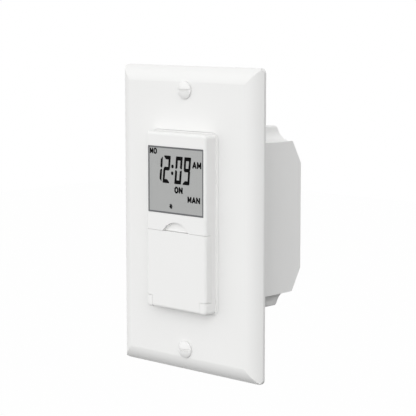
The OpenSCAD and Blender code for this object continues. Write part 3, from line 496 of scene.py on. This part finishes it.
@dataclass
class PlateScrews:
    """The two oval-head screws that hold the wall plate.

    Attributes:
        head_r: radius of the head.
        dome_h: height of its dome.
        dome_steps: number of faces from the dome's top to its rim.
        rim_h: how far the head's rim stands out of the plate.
        slot_w: width of the driver slot.
        slot_edge: rounding of the slot's lips.
        lip_h: least height of a lip above the slot's floor.
        lip_angle: angle in radians past which an edge beside the slot is a lip.
        thread_r: radius over the thread.
        root_r: radius of the core under it.
        root_sink: how far the thread's foot lies inside the core.
        pitch: distance between the thread's turns.
        foot: half the width of the thread's foot, as a part of the pitch.
        turn_steps: number of faces in one turn of the thread.
        tip_h: length of the cone at the tip.
        tip_in: how far the cone narrows.
        steps: number of faces round the screw.
    """

    head_r: float = 3.2
    dome_h: float = 1.1
    dome_steps: int = 12
    rim_h: float = 0.6
    slot_w: float = 0.9
    slot_edge: float = 0.14
    lip_h: float = 0.05
    lip_angle: float = 0.8
    thread_r: float = 1.75
    root_r: float = 1.42
    root_sink: float = 0.05
    pitch: float = 0.8
    foot: float = 0.42
    turn_steps: int = 24
    tip_h: float = 0.6
    tip_in: float = 0.4
    steps: int = 64

    def build(self) -> None:
        """Makes both screws as one piece."""
        low, high = box_mm("plate_screws")
        head_h = self.rim_h + self.dome_h
        length = high.y - low.y - head_h
        parts = []
        for z in (low.z + self.head_r, high.z - self.head_r):
            for part in (self.head_and_core(length), self.thread(length)):
                bmesh.ops.translate(part, vec=Vector((0, low.y + head_h, z)), verts=part.verts)
                parts.append(part)
        shade(piece("oval_head_screws", merged(parts), WHITE_ENAMEL, "base",
                    ["plate_screws"]), sharp_deg=40)

    def head_and_core(self, length: float) -> bmesh.types.BMesh:
        """Turns the head and the core on the screw's axis and cuts the slot.

        Args:
            length: length behind the plate's front.

        Returns:
            The screw without its thread, with the plate's front at Y = 0.
        """
        bm = bmesh.new()
        dome_r = (self.head_r ** 2 + self.dome_h ** 2) / (2 * self.dome_h)
        top = bm.verts.new((0, -self.rim_h - self.dome_h, 0))
        bmesh.ops.spin(bm, geom=[top], cent=(0, dome_r - self.dome_h - self.rim_h, 0),
                       axis=(0, 0, 1), angle=math.asin(self.head_r / dome_r),
                       steps=self.dome_steps)
        last = max(bm.verts, key=lambda v: v.co.x)
        for x, y in ((self.head_r, 0), (self.root_r, self.head_r - self.root_r),
                     (self.root_r, length - self.tip_h), (self.root_r - self.tip_in, length),
                     (0, length)):
            following = bm.verts.new((x, y, 0))
            bm.edges.new((last, following))
            last = following
        turned(bm, self.steps)
        self.slot(bm)
        bmesh.ops.recalc_face_normals(bm, faces=bm.faces)
        return bm

    def slot(self, bm: bmesh.types.BMesh) -> None:
        """Sinks the driver slot into the dome down to the rim and rounds its lips.

        Args:
            bm: the turned screw.
        """
        half = self.slot_w / 2
        for z in (-half, half):
            bmesh.ops.bisect_plane(bm, geom=bm.verts[:] + bm.edges[:] + bm.faces[:],
                                   dist=NEAR_MM, plane_co=(0, 0, z), plane_no=(0, 0, 1))
        strip = [f for f in bm.faces if f.calc_center_median().y < -self.rim_h - NEAR_MM
                 and all(abs(v.co.z) < half + NEAR_MM for v in f.verts)]
        for v in extruded(bm, strip):
            v.co.y = -self.rim_h
        bmesh.ops.delete(bm, geom=[f for f in strip if f.is_valid], context="FACES_ONLY")
        bmesh.ops.remove_doubles(bm, verts=bm.verts, dist=NEAR_MM)
        bmesh.ops.recalc_face_normals(bm, faces=bm.faces)
        lips = [e for e in bm.edges
                if len(e.link_faces) == 2 and e.calc_face_angle() > self.lip_angle
                and all(abs(abs(v.co.z) - half) < NEAR_MM and v.co.y < -self.rim_h - self.lip_h
                        for v in e.verts)]
        soften(bm, lips, self.slot_edge, steps=2)

    def thread(self, length: float) -> bmesh.types.BMesh:
        """Winds the thread's ridge round the core.

        Args:
            length: length behind the plate's front.

        Returns:
            The ridge.
        """
        bm = bmesh.new()
        start = self.head_r
        half = self.pitch * self.foot
        foot_r = self.root_r - self.root_sink
        ring = [bm.verts.new((x, start + y, 0))
                for x, y in ((foot_r, -half), (self.thread_r, 0), (foot_r, half))]
        for i, corner in enumerate(ring):
            bm.edges.new((corner, ring[i - 1]))
        turns = int((length - self.tip_h - start) / self.pitch)
        wound(bm, self.pitch, turns, self.turn_steps)
        return bm


@dataclass
class Keypad:
    """The six keys behind the door, with what is printed on them and beside the reset hole.

    Attributes:
        legends: what each key says, by the start of its node's name.
        corner_r: rounding of a key's corners seen from the front.
        corner_steps: number of faces in that rounding.
        edge_r: rounding of its front edge.
        dish_in: distance from the edge to the finger dish.
        dish_slope: width of the dish's sloping side.
        dish_d: depth of the dish.
        flange_t: thickness of the flange that keeps it behind the panel.
        flange_lap: how far the flange reaches past the cap.
        letter_h: height of the letters.
        letter_w: width of one letter.
        bold: how much their strokes are fattened, as a part of their height.
        proud: how far a cap stands out of the panel.
        reset_gap: room between the reset button and its word.
        reset_w: width of that word.
        reset_h: height of that word.
    """

    legends: dict[str, str] = field(default_factory=lambda: {
        "mode": "MODE", "program": "PROG", "day": "DAY", "hour": "HOUR", "minute": "MIN",
        "on_off": "ON/OFF"})
    corner_r: float = 1.0
    corner_steps: int = 6
    edge_r: float = 0.3
    dish_in: float = 0.7
    dish_slope: float = 0.3
    dish_d: float = 0.12
    flange_t: float = 0.8
    flange_lap: float = 0.5
    letter_h: float = 1.5
    letter_w: float = 1.15
    bold: float = 0.01
    proud: float = 0.8
    reset_gap: float = 1.0
    reset_w: float = 4.4
    reset_h: float = 1.2

    def build(self) -> None:
        """Makes every key and its legend, and the word beside the reset hole."""
        for key, words in self.legends.items():
            self.key(key, words)
        self.reset_word()

    def key(self, key: str, words: str) -> None:
        """Makes one key, with its cap and flange as one piece and its legend as another.

        Args:
            key: the start of its node's name.
            words: what it says.
        """
        low, high = box_mm(key + "_button")
        lap = Vector((self.flange_lap, 0, self.flange_lap))
        cap = self.cap(low + lap, high - lap - Vector((0, self.flange_t, 0)))
        flange = self.rounded(Vector((low.x, high.y - self.flange_t, low.z)), high)
        shade(piece(key + "_key_cap", merged([cap, flange]), BUTTON_ABS, key + "_key",
                    [key + "_button"]), sharp_deg=35)
        middle = (low + high) / 2
        half_w, half_h = len(words) * self.letter_w / 2, self.letter_h / 2
        legend = lettering(words, (middle.x - half_w, middle.z - half_h),
                           (middle.x + half_w, middle.z + half_h), low.y + self.dish_d, self.bold)
        piece(key + "_legend", legend, GREY_INK, key + "_key")

    def reset_word(self) -> None:
        """Prints the word beside the reset hole on the panel."""
        low, high = box_mm("reset_button")
        panel = box_mm("mode_button")[0].y + self.proud
        left, middle = high.x + self.reset_gap, (low.z + high.z) / 2
        word = lettering("RESET", (left, middle - self.reset_h / 2),
                         (left + self.reset_w, middle + self.reset_h / 2), panel, self.bold)
        piece("reset_word", word, GREY_INK, "base")

    def rounded(self, low: Vector, high: Vector) -> bmesh.types.BMesh:
        """Makes a block with round corners seen from the front, as the flange is.

        Args:
            low: its lowest corner.
            high: its highest corner.

        Returns:
            The block.
        """
        bm = block(low, high)
        soften(bm, along_y(bm), self.corner_r, self.corner_steps)
        return bm

    def cap(self, low: Vector, high: Vector) -> bmesh.types.BMesh:
        """Makes a key's cap with soft edges and a shallow dish.

        Args:
            low: its lowest corner.
            high: its highest corner.

        Returns:
            The cap.
        """
        bm = self.rounded(low, high)
        soften(bm, foremost(bm).edges, self.edge_r)
        for width, depth in ((self.dish_in - self.edge_r, 0), (self.dish_slope, -self.dish_d)):
            bmesh.ops.inset_region(bm, faces=[foremost(bm)], thickness=width, depth=depth)
        return bm


# The strokes of the display's letters and of its star on a square from 0 to 1, each with the X
# and Z of its start and of its end
STROKES: dict[str, tuple[tuple[float, float, float, float], ...]] = {
    "A": ((0, 0, 0.5, 1), (0.5, 1, 1, 0), (0.18, 0.3, 0.82, 0.3)),
    "M": ((0, 0, 0, 1), (0, 1, 0.5, 0.25), (0.5, 0.25, 1, 1), (1, 1, 1, 0)),
    "N": ((0, 0, 0, 1), (0, 1, 1, 0), (1, 0, 1, 1)),
    "O": ((0, 0.25, 0, 0.75), (0, 0.75, 0.3, 1), (0.3, 1, 0.7, 1), (0.7, 1, 1, 0.75),
          (1, 0.75, 1, 0.25), (1, 0.25, 0.7, 0), (0.7, 0, 0.3, 0), (0.3, 0, 0, 0.25)),
    "*": ((0.35, 1, 0.65, 0), (0, 0.4, 1, 0.6), (0.1, 0.85, 0.9, 0.15), (0.25, 0.1, 0.75, 0.9)),
}

# The bars that are on in each digit, with the usual letters: a at the top, then clockwise to f,
# and g in the middle
LIT_BARS: dict[str, str] = {"0": "abcdef", "1": "bc", "2": "abged", "9": "abcdfg"}


@dataclass
class Readout:
    """What the display shows, and the dark border round it, which is print with painted shade of
    the window's recess.

    Attributes:
        border_w: width of the border.
        words: each word and the star, with lowest X and Z, highest X and Z, and thickness of
            the strokes.
        letter_gap: room between two letters.
        stroke_lap: how far a stroke reaches past its end, as a part of half its thickness.
        digits: each digit with the X of its middle.
        digit_w: width of a digit.
        digit_z: lowest and highest Z of the digits.
        upright_w: thickness of the upright bars.
        level_w: thickness of the level bars.
        bar_gap: room between two bars of a digit at its corners.
        corner_cut: size of the cut at a digit's outer corners.
        inner_cut: cut on an upright bar's inner side at half height, as a part of upright_w.
        outer_cut: the same on its outer side.
        middle_gap: room between the upper and lower bars.
        middle_up: how far the middle bar lies above half the digit's height.
        middle_half: half the thickness of the middle bar, as a part of level_w.
        middle_in: distance of its ends from the digit's sides, as a part of upright_w.
        middle_cut: size of the cuts at its corners, as a part of half its thickness.
        slant: how far the digits lean to the right, in degrees.
        dots: X and Z of the colon's dots.
        dot_size: width and height of a dot.
        dot_cut: size of the cuts at a dot's corners, as a part of half its width.
        film_t: thickness of the film, of the border and of the dark bars.
    """

    border_w: float = 0.8
    words: tuple[tuple[str, float, float, float, float, float], ...] = (
        ("MO", -13.2, 24.72, -9.47, 27.0, 0.58), ("AM", 8.45, 20.5, 12.94, 23.15, 0.64),
        ("ON", -0.57, 10.8, 3.65, 13.34, 0.7), ("MAN", 6.05, 7.78, 12.36, 10.26, 0.62),
        ("*", -3.26, 4.82, -1.46, 6.82, 0.4))
    letter_gap: float = 0.14
    stroke_lap: float = 0.6
    digits: tuple[tuple[str, float], ...] = (("1", -8.5), ("2", -4.5), ("0", 1.55), ("9", 5.76))
    digit_w: float = 3.4
    digit_z: tuple[float, float] = (14.28, 24.5)
    upright_w: float = 1.05
    level_w: float = 1.45
    bar_gap: float = 0.01
    corner_cut: float = 0.2
    inner_cut: float = 0.5
    outer_cut: float = 0.25
    middle_gap: float = 0.35
    middle_up: float = 0.25
    middle_half: float = 0.46
    middle_in: float = 0.15
    middle_cut: float = 0.75
    slant: float = 5.5
    dots: tuple[tuple[float, float], ...] = ((-1.5, 20.65), (-1.66, 18.11))
    dot_size: tuple[float, float] = (1.2, 1.35)
    dot_cut: float = 0.55
    film_t: float = 0.01

    def build(self) -> None:
        """Makes the border, the grey film inside the window, the digits, the dots and the words."""
        self.border()
        low, high = box_mm("lcd_window")
        face = low.y + 2 * self.film_t
        film = block((low.x, face, low.z), (high.x, face + self.film_t, high.z))
        piece("display_film", film, POLARISER, "base")
        parts = [self.digit(mark, x, face) for mark, x in self.digits]
        parts += [self.dot(x, z, face) for x, z in self.dots]
        piece("lit_digits", merged(parts), DARK_CRYSTAL, "base")
        words = [self.word(*word, face) for word in self.words]
        piece("lit_words", merged(words), DARK_CRYSTAL, "base")

    def border(self) -> None:
        """Makes the thin dark frame on the window's edge: printed ink with painted shade of the
        recess.
        """
        low, high = box_mm("lcd_window")
        bm = block((low.x, low.y - self.film_t, low.z), (high.x, low.y, high.z))
        faces = [f for f in bm.faces if abs(f.normal.y) > PARALLEL]
        bmesh.ops.inset_individual(bm, faces=faces, thickness=self.border_w, depth=0)
        inner = [f for f in bm.faces if abs(f.normal.y) > PARALLEL
                 and all(abs(v.co.x) < high.x - self.border_w / 2 for v in f.verts)]
        rims = [list(f.edges) for f in inner]
        bmesh.ops.delete(bm, geom=inner, context="FACES_ONLY")
        bmesh.ops.bridge_loops(bm, edges=rims[0] + rims[1])
        bmesh.ops.recalc_face_normals(bm, faces=bm.faces)
        piece("window_border_with_shade", bm, BORDER_INK_AND_SHADE, "base")

    def bar(self, low: tuple[float, float], high: tuple[float, float], face: float,
            cuts: Iterable[tuple[int, int, float]] = ()) -> bmesh.types.BMesh:
        """Makes one flat bar with some of its corners cut off at 45 degrees.

        Args:
            low: lowest X and Z.
            high: highest X and Z.
            face: Y of the film.
            cuts: side in X, side in Z and size of each cut.

        Returns:
            The bar.
        """
        bm = block((low[0], face - self.film_t, low[1]), (high[0], face, high[1]))
        for side_x, side_z, size in cuts:
            x, z = (low, high)[side_x > 0][0], (low, high)[side_z > 0][1]
            corner = [e for e in along_y(bm)
                      if math.hypot(e.verts[0].co.x - x, e.verts[0].co.z - z) < NEAR_MM]
            soften(bm, corner, size, steps=1)
        return bm

    def every_corner(self, size: float) -> list[tuple[int, int, float]]:
        """Gives the cuts of a bar that loses the same at all four corners."""
        return [(side_x, side_z, size) for side_x in (-1, 1) for side_z in (-1, 1)]

    def digit(self, mark: str, x: float, face: float) -> bmesh.types.BMesh:
        """Makes one leaning digit from those of its seven bars that are on.

        Args:
            mark: the digit.
            x: X of its middle.
            face: Y of the film.

        Returns:
            The digit.
        """
        lit = LIT_BARS[mark]
        wide, tall = self.digit_w / 2, (self.digit_z[1] - self.digit_z[0]) / 2
        thin, thick, gap = self.upright_w, self.level_w, self.bar_gap
        mitre = thin - gap / 2
        shoulder = tall - (thick - mitre) - gap
        bars = []
        for name, up in (("a", 1), ("d", -1)):
            if name in lit:
                ends = sorted((up * tall, up * (tall - thick)))
                bars.append(self.bar((gap / 2 - wide, ends[0]), (wide - gap / 2, ends[1]), face, (
                    (-1, -up, mitre), (1, -up, mitre),
                    (-1, up, self.corner_cut), (1, up, self.corner_cut))))
        if "g" in lit:
            half = thick * self.middle_half
            reach = wide - thin * self.middle_in
            bars.append(self.bar((-reach, self.middle_up - half), (reach, self.middle_up + half),
                                 face, self.every_corner(half * self.middle_cut)))
        for name, side, up in (("f", -1, 1), ("b", 1, 1), ("e", -1, -1), ("c", 1, -1)):
            if name in lit:
                across = sorted((side * wide, side * (wide - thin)))
                ends = sorted((self.middle_up + up * self.middle_gap / 2, up * shoulder))
                bars.append(self.bar((across[0], ends[0]), (across[1], ends[1]), face, (
                    (-side, up, mitre), (-side, -up, thin * self.inner_cut),
                    (side, -up, thin * self.outer_cut))))
        bm = merged(bars)
        lean = Matrix.Identity(4)
        lean[0][2] = math.tan(math.radians(self.slant))
        middle = Matrix.Translation((x, 0, sum(self.digit_z) / 2))
        bmesh.ops.transform(bm, matrix=middle @ lean, verts=bm.verts)
        return bm

    def dot(self, x: float, z: float, face: float) -> bmesh.types.BMesh:
        """Makes one dot with cut corners.

        Args:
            x: X of its middle.
            z: Z of its middle.
            face: Y of the film.

        Returns:
            The dot.
        """
        wide, tall = self.dot_size[0] / 2, self.dot_size[1] / 2
        return self.bar((x - wide, z - tall), (x + wide, z + tall), face,
                        self.every_corner(wide * self.dot_cut))

    def word(self, letters: str, x0: float, z0: float, x1: float, z1: float, stroke_w: float,
             face: float) -> bmesh.types.BMesh:
        """Makes a word of bold stroked letters that fill a rectangle.

        Args:
            letters: what it says.
            x0: lowest X.
            z0: lowest Z.
            x1: highest X.
            z1: highest Z.
            stroke_w: thickness of the strokes.
            face: Y of the film.

        Returns:
            The word.
        """
        pitch = (x1 - x0 + self.letter_gap) / len(letters)
        span = Vector((pitch - self.letter_gap - stroke_w, z1 - z0 - stroke_w))
        half = stroke_w / 2
        bars = []
        for i, letter in enumerate(letters):
            corner = Vector((x0 + i * pitch + half, z0 + half))
            for stroke in STROKES[letter]:
                start = corner + Vector((stroke[0] * span.x, stroke[1] * span.y))
                stop = corner + Vector((stroke[2] * span.x, stroke[3] * span.y))
                reach = (stop - start).length / 2 + half * self.stroke_lap
                bm = self.bar((-reach, -half), (reach, half), face)
                turn = math.atan2(stop.y - start.y, stop.x - start.x)
                bmesh.ops.rotate(bm, verts=bm.verts, matrix=Matrix.Rotation(-turn, 3, "Y"))
                middle = (start + stop) / 2
                bmesh.ops.translate(bm, vec=Vector((middle.x, 0, middle.y)), verts=bm.verts)
                bars.append(bm)
        return merged(bars)


@dataclass
class RelayWinding:
    """The relay's bobbin with its wire, turn beside turn.

    Attributes:
        cheek_t: thickness of the bobbin's end cheeks.
        core_r: radius of the bobbin's core under the wire.
        steps: number of faces round the bobbin.
        wire_r: radius of the wire, drawn thicker than real so that its turns show.
        wire_sides: number of faces round the wire.
        turn_steps: number of faces along one turn of it.
        pole_r: radius of the steel pole.
        pole_h: how far the pole stands out of the upper cheek.
    """

    cheek_t: float = 0.8
    core_r: float = 3.2
    steps: int = 48
    wire_r: float = 0.26
    wire_sides: int = 8
    turn_steps: int = 32
    pole_r: float = 2.2
    pole_h: float = 0.6

    def build(self) -> None:
        """Makes the bobbin with its pole, and the wire round it."""
        low, high = box_mm("relay_coil")
        middle = (low + high) / 2
        cheek_r = (high.x - low.x) / 2
        top = high.y - self.pole_h
        y0, y1 = low.y + self.cheek_t, top - self.cheek_t
        spool = self.spool(((0, low.y), (cheek_r, low.y), (cheek_r, y0), (self.core_r, y0),
                            (self.core_r, y1), (cheek_r, y1), (cheek_r, top), (self.pole_r, top),
                            (self.pole_r, high.y), (0, high.y)))
        wire = self.wire(y0, y1)
        for bm in (spool, wire):
            bmesh.ops.translate(bm, vec=Vector((middle.x, 0, middle.z)), verts=bm.verts)
        shade(piece("coil_bobbin", spool, NATURAL_NYLON, "base", replaces=["relay_coil"]),
              sharp_deg=35)
        shade(piece("coil_wire", wire, WOUND_COPPER, "base"), sharp_deg=60)

    def spool(self, profile: Sequence[tuple[float, float]]) -> bmesh.types.BMesh:
        """Turns a profile of radius and Y on the coil's axis.

        Args:
            profile: the corners from the axis and back to it.

        Returns:
            The turned shape.
        """
        bm = bmesh.new()
        corners = [bm.verts.new((x, y, 0)) for x, y in profile]
        for pair in zip(corners, corners[1:]):
            bm.edges.new(pair)
        turned(bm, self.steps)
        bmesh.ops.recalc_face_normals(bm, faces=bm.faces)
        return bm

    def wire(self, y0: float, y1: float) -> bmesh.types.BMesh:
        """Winds the outer layer of wire between the cheeks.

        Args:
            y0: Y of the lower cheek's inner side.
            y1: Y of the upper cheek's inner side.

        Returns:
            The wire.
        """
        bm = bmesh.new()
        room = y1 - y0 - 2 * self.wire_r
        turns = int(room / (2 * self.wire_r))
        bmesh.ops.create_circle(bm, cap_ends=False, radius=self.wire_r, segments=self.wire_sides)
        start = Vector((self.core_r + self.wire_r, y0 + self.wire_r, 0))
        bmesh.ops.translate(bm, vec=start, verts=bm.verts)
        wound(bm, room / turns, turns, self.turn_steps)
        return bm


@dataclass
class Armature:
    """The relay's stamped armature, which rocks on a bead in the yoke's seat.

    Attributes:
        bead_r: radius of the bead.
        neck: half the thickness and the length of the thin part beside the bead.
        relief: distance from the bead's axis at which the plate starts to thin, to clear the yoke.
        contact_r: radius of the contact under the free end.
        contact_in: distance of the contact from the free end.
        contact_h: how far the contact stands out of the plate.
        edge_r: rounding of the corners and of the contact's rim.
        steps: number of faces round the bead and round the contact.
    """

    bead_r: float = 0.7
    neck: tuple[float, float] = (0.3, 0.6)
    relief: float = 1.0
    contact_r: float = 1.0
    contact_in: float = 1.2
    contact_h: float = 0.5
    edge_r: float = 0.25
    steps: int = 32

    def build(self) -> None:
        """Makes the plate, the bead and the contact as one piece."""
        low, high = box_mm("relay_armature")
        axis = Vector((high.x - self.bead_r, high.y - self.bead_r, (low.z + high.z) / 2))
        bead = self.rod(self.bead_r, high.z - low.z, Matrix.Translation(axis))
        place = Vector((low.x + self.contact_in, (low.y + axis.y) / 2, axis.z))
        upright = Matrix.Rotation(QUARTER_TURN, 4, "X")
        stud = self.rod(self.contact_r, axis.y - low.y, Matrix.Translation(place) @ upright)
        soften(stud, foremost(stud).edges, self.edge_r)
        parts = [self.plate(low, high, axis), bead, stud]
        shade(piece("stamped_armature", merged(parts), ZINC_STEEL, "armature",
                    ["relay_armature"]), sharp_deg=35)

    def rod(self, radius: float, length: float, place: Matrix) -> bmesh.types.BMesh:
        """Makes a short round rod.

        Args:
            radius: its radius.
            length: its length.
            place: where its middle goes and how it is turned.

        Returns:
            The rod.
        """
        bm = bmesh.new()
        bmesh.ops.create_cone(bm, cap_ends=True, segments=self.steps, radius1=radius,
                              radius2=radius, depth=length, matrix=place)
        return bm

    def plate(self, low: Vector, high: Vector, axis: Vector) -> bmesh.types.BMesh:
        """Makes the plate, which thins towards the bead.

        Args:
            low: the armature's lowest corner.
            high: its highest corner.
            axis: a point on the bead's axis.

        Returns:
            The plate.
        """
        bm = bmesh.new()
        half, length = self.neck
        face = low.y + self.contact_h
        lower = [(low.x, face), (axis.x - self.relief, face), (axis.x - length, axis.y - half),
                 (axis.x, axis.y - half)]
        outline = lower + [(x, 2 * axis.y - y) for x, y in reversed(lower)]
        side = bm.faces.new([bm.verts.new((x, y, low.z)) for x, y in outline])
        top = extruded(bm, [side])
        bmesh.ops.translate(bm, vec=Vector((0, 0, high.z - low.z)), verts=top)
        bmesh.ops.recalc_face_normals(bm, faces=bm.faces)
        soften(bm, along_y(bm), self.edge_r)
        return bm


@dataclass
class BackLetters:
    """Raised words beside the wire inlets in the back.

    Attributes:
        words: what each inlet is for, with the X of its middle.
        z: lowest and highest Z of the letters.
        letter_w: width of one letter.
        raised: how far they stand out.
    """

    words: tuple[tuple[str, float], ...] = (("LINE", -9.0), ("COM", 0.0), ("LOAD", 9.0))
    z: tuple[float, float] = (-18.6, -16.8)
    letter_w: float = 1.35
    raised: float = 0.15

    def build(self) -> None:
        """Makes the words as one piece."""
        back = box_mm("rear_housing")[1].y
        parts = []
        for word, x in self.words:
            half = len(word) * self.letter_w / 2
            parts.append(lettering(word, (x - half, self.z[0]), (x + half, self.z[1]), back,
                                   thick=self.raised, behind=True))
        piece("inlet_words", merged(parts), HOUSING_ABS_PAINTED_LIGHT, "base")


@dataclass(frozen=True)
class Lamp:
    """One wide soft light.

    Attributes:
        turn: how far to the right of the front it stands, in degrees.
        height: how far above the level it stands, in degrees.
        strength: its brightness where it is brightest.
    """

    turn: float
    height: float
    strength: float

    def way(self) -> Vector:
        """Gives the direction that it shines from."""
        turn, height = math.radians(self.turn), math.radians(self.height)
        return Vector((math.sin(turn) * math.cos(height), -math.cos(turn) * math.cos(height),
                       math.sin(height)))


# The studio's soft lights: four in front, one high at the right, two behind and a low fill from
# the left
LAMPS: tuple[Lamp, ...] = (
    Lamp(-60, 20, 1.45),
    Lamp(0, 20, 0.6),
    Lamp(30, 20, 2.1),
    Lamp(60, 20, 0.8),
    Lamp(90, 55, 1.0),
    Lamp(150, 20, 0.65),
    Lamp(-150, 20, 2.2),
    Lamp(-45, -20, 1.0),
)

WHITE = linear("FFFFFF")
# Matt paint on the floor: nearly white, so that only the shadow shows
FLOOR_PAINT = linear("FCFCFC")


@dataclass
class Studio:
    """The camera, the light and the floor.

    Attributes:
        eye: the camera's place in millimetres.
        yaw: how far to the right of the front it stands, in degrees.
        pitch: how far it looks down, in degrees.
        lens_mm: focal length.
        sensor_mm: width of the sensor.
        lamps: the soft lights.
        softness: power of the cosine with which each light falls off to its sides.
        floor_z: height of the floor in millimetres.
        floor_reach: distance from the floor's middle to its edges in millimetres.
        floor_shadow: share of paint in the floor's look, which takes the shadow. The rest is
            plain white.
    """

    eye: tuple[float, float, float] = (379.55, -402.69, 77.19)
    yaw: float = 42.774
    pitch: float = 7.488
    lens_mm: float = 129.77
    sensor_mm: float = 36.0
    lamps: tuple[Lamp, ...] = LAMPS
    softness: float = 6.0
    floor_z: float = -600.0
    floor_reach: float = 4000.0
    floor_shadow: float = 0.1

    def build(self) -> None:
        """Makes the camera, the world and the floor, and sets the plain view transform."""
        self.camera()
        self.world()
        self.floor()
        bpy.context.scene.view_settings.view_transform = "Standard"

    def camera(self) -> None:
        """Places the camera at the photograph's angle."""
        data = bpy.data.cameras.new("camera")
        data.lens = self.lens_mm
        data.sensor_width = self.sensor_mm
        obj = bpy.data.objects.new("camera", data)
        obj.location = Vector(self.eye) * MM
        obj.rotation_euler = (QUARTER_TURN - math.radians(self.pitch), 0, math.radians(self.yaw))
        bpy.context.scene.collection.objects.link(obj)
        bpy.context.scene.camera = obj

    def seen_ray(self, tree: bpy.types.NodeTree) -> bpy.types.NodeSocket:
        """Tells the rays that show the background to the eye, also in gloss and through glass.

        Args:
            tree: the node tree that asks.

        Returns:
            A socket that is 1 for such rays and 0 for the rest.
        """
        path = add(tree, "ShaderNodeLightPath")
        seen = path.outputs["Is Camera Ray"]
        for ray in ("Is Glossy Ray", "Is Transmission Ray"):
            seen = add(tree, "ShaderNodeMath", {0: seen, 1: path.outputs[ray]},
                       operation="MAXIMUM").outputs["Value"]
        return seen

    def world(self) -> None:
        """Lights the object with a wide soft glow for each lamp, in front of a white background."""
        world = bpy.data.worlds.new("studio")
        world.use_nodes = True
        tree = world.node_tree
        tree.nodes.clear()
        way = add(tree, "ShaderNodeTexCoord").outputs["Generated"]
        total: Any = 0.0
        for lamp in self.lamps:
            facing = add(tree, "ShaderNodeVectorMath", {0: way, 1: lamp.way()},
                         operation="DOT_PRODUCT")
            ahead = add(tree, "ShaderNodeMath", {0: facing.outputs["Value"], 1: 0.0},
                        operation="MAXIMUM")
            glow = add(tree, "ShaderNodeMath", {0: ahead.outputs["Value"], 1: self.softness},
                       operation="POWER")
            total = add(tree, "ShaderNodeMath", {
                0: glow.outputs["Value"], 1: lamp.strength, 2: total},
                operation="MULTIPLY_ADD").outputs["Value"]
        light = add(tree, "ShaderNodeBackground", {"Color": WHITE, "Strength": total})
        white = add(tree, "ShaderNodeBackground", {"Color": WHITE, "Strength": 1.0})
        both = add(tree, "ShaderNodeMixShader", {
            0: self.seen_ray(tree), 1: light.outputs[0], 2: white.outputs[0]})
        add(tree, "ShaderNodeOutputWorld", {"Surface": both.outputs[0]})
        bpy.context.scene.world = world

    def floor(self) -> None:
        """Lays a wide pale floor that takes the shadow and lets the world's light through."""
        bm = bmesh.new()
        bmesh.ops.create_grid(bm, x_segments=1, y_segments=1, size=self.floor_reach * MM)
        bmesh.ops.translate(bm, vec=Vector((0, 0, self.floor_z * MM)), verts=bm.verts)
        mesh = bpy.data.meshes.new("floor")
        bm.to_mesh(mesh)
        bm.free()
        mesh.materials.append(self.floor_material())
        obj = bpy.data.objects.new("floor", mesh)
        bpy.context.scene.collection.objects.link(obj)

    def floor_material(self) -> bpy.types.Material:
        """Builds the floor's paint, which is clear to the light that falls on the object.

        Returns:
            The material.
        """
        made = bpy.data.materials.new("pale_floor_paint")
        made.use_nodes = True
        tree = made.node_tree
        tree.nodes.clear()
        paint = add(tree, "ShaderNodeBsdfDiffuse", {"Color": FLOOR_PAINT})
        white = add(tree, "ShaderNodeEmission", {"Color": WHITE, "Strength": 1.0})
        pale = add(tree, "ShaderNodeMixShader", {
            0: self.floor_shadow, 1: white.outputs[0], 2: paint.outputs[0]})
        clear = add(tree, "ShaderNodeBsdfTransparent")
        both = add(tree, "ShaderNodeMixShader", {
            0: self.seen_ray(tree), 1: clear.outputs[0], 2: pale.outputs[0]})
        add(tree, "ShaderNodeOutputMaterial", {"Surface": both.outputs[0]})
        return made


def main() -> None:
    """Builds every piece and the studio in order."""
    logging.basicConfig(level=logging.INFO, format="%(name)s: %(message)s")
    dress_cad_nodes()
    for part in (PlateScrews(), Keypad(), Readout(), RelayWinding(), Armature(), BackLetters(),
                 Studio()):
        part.build()


if __name__ == "__main__":
    main()
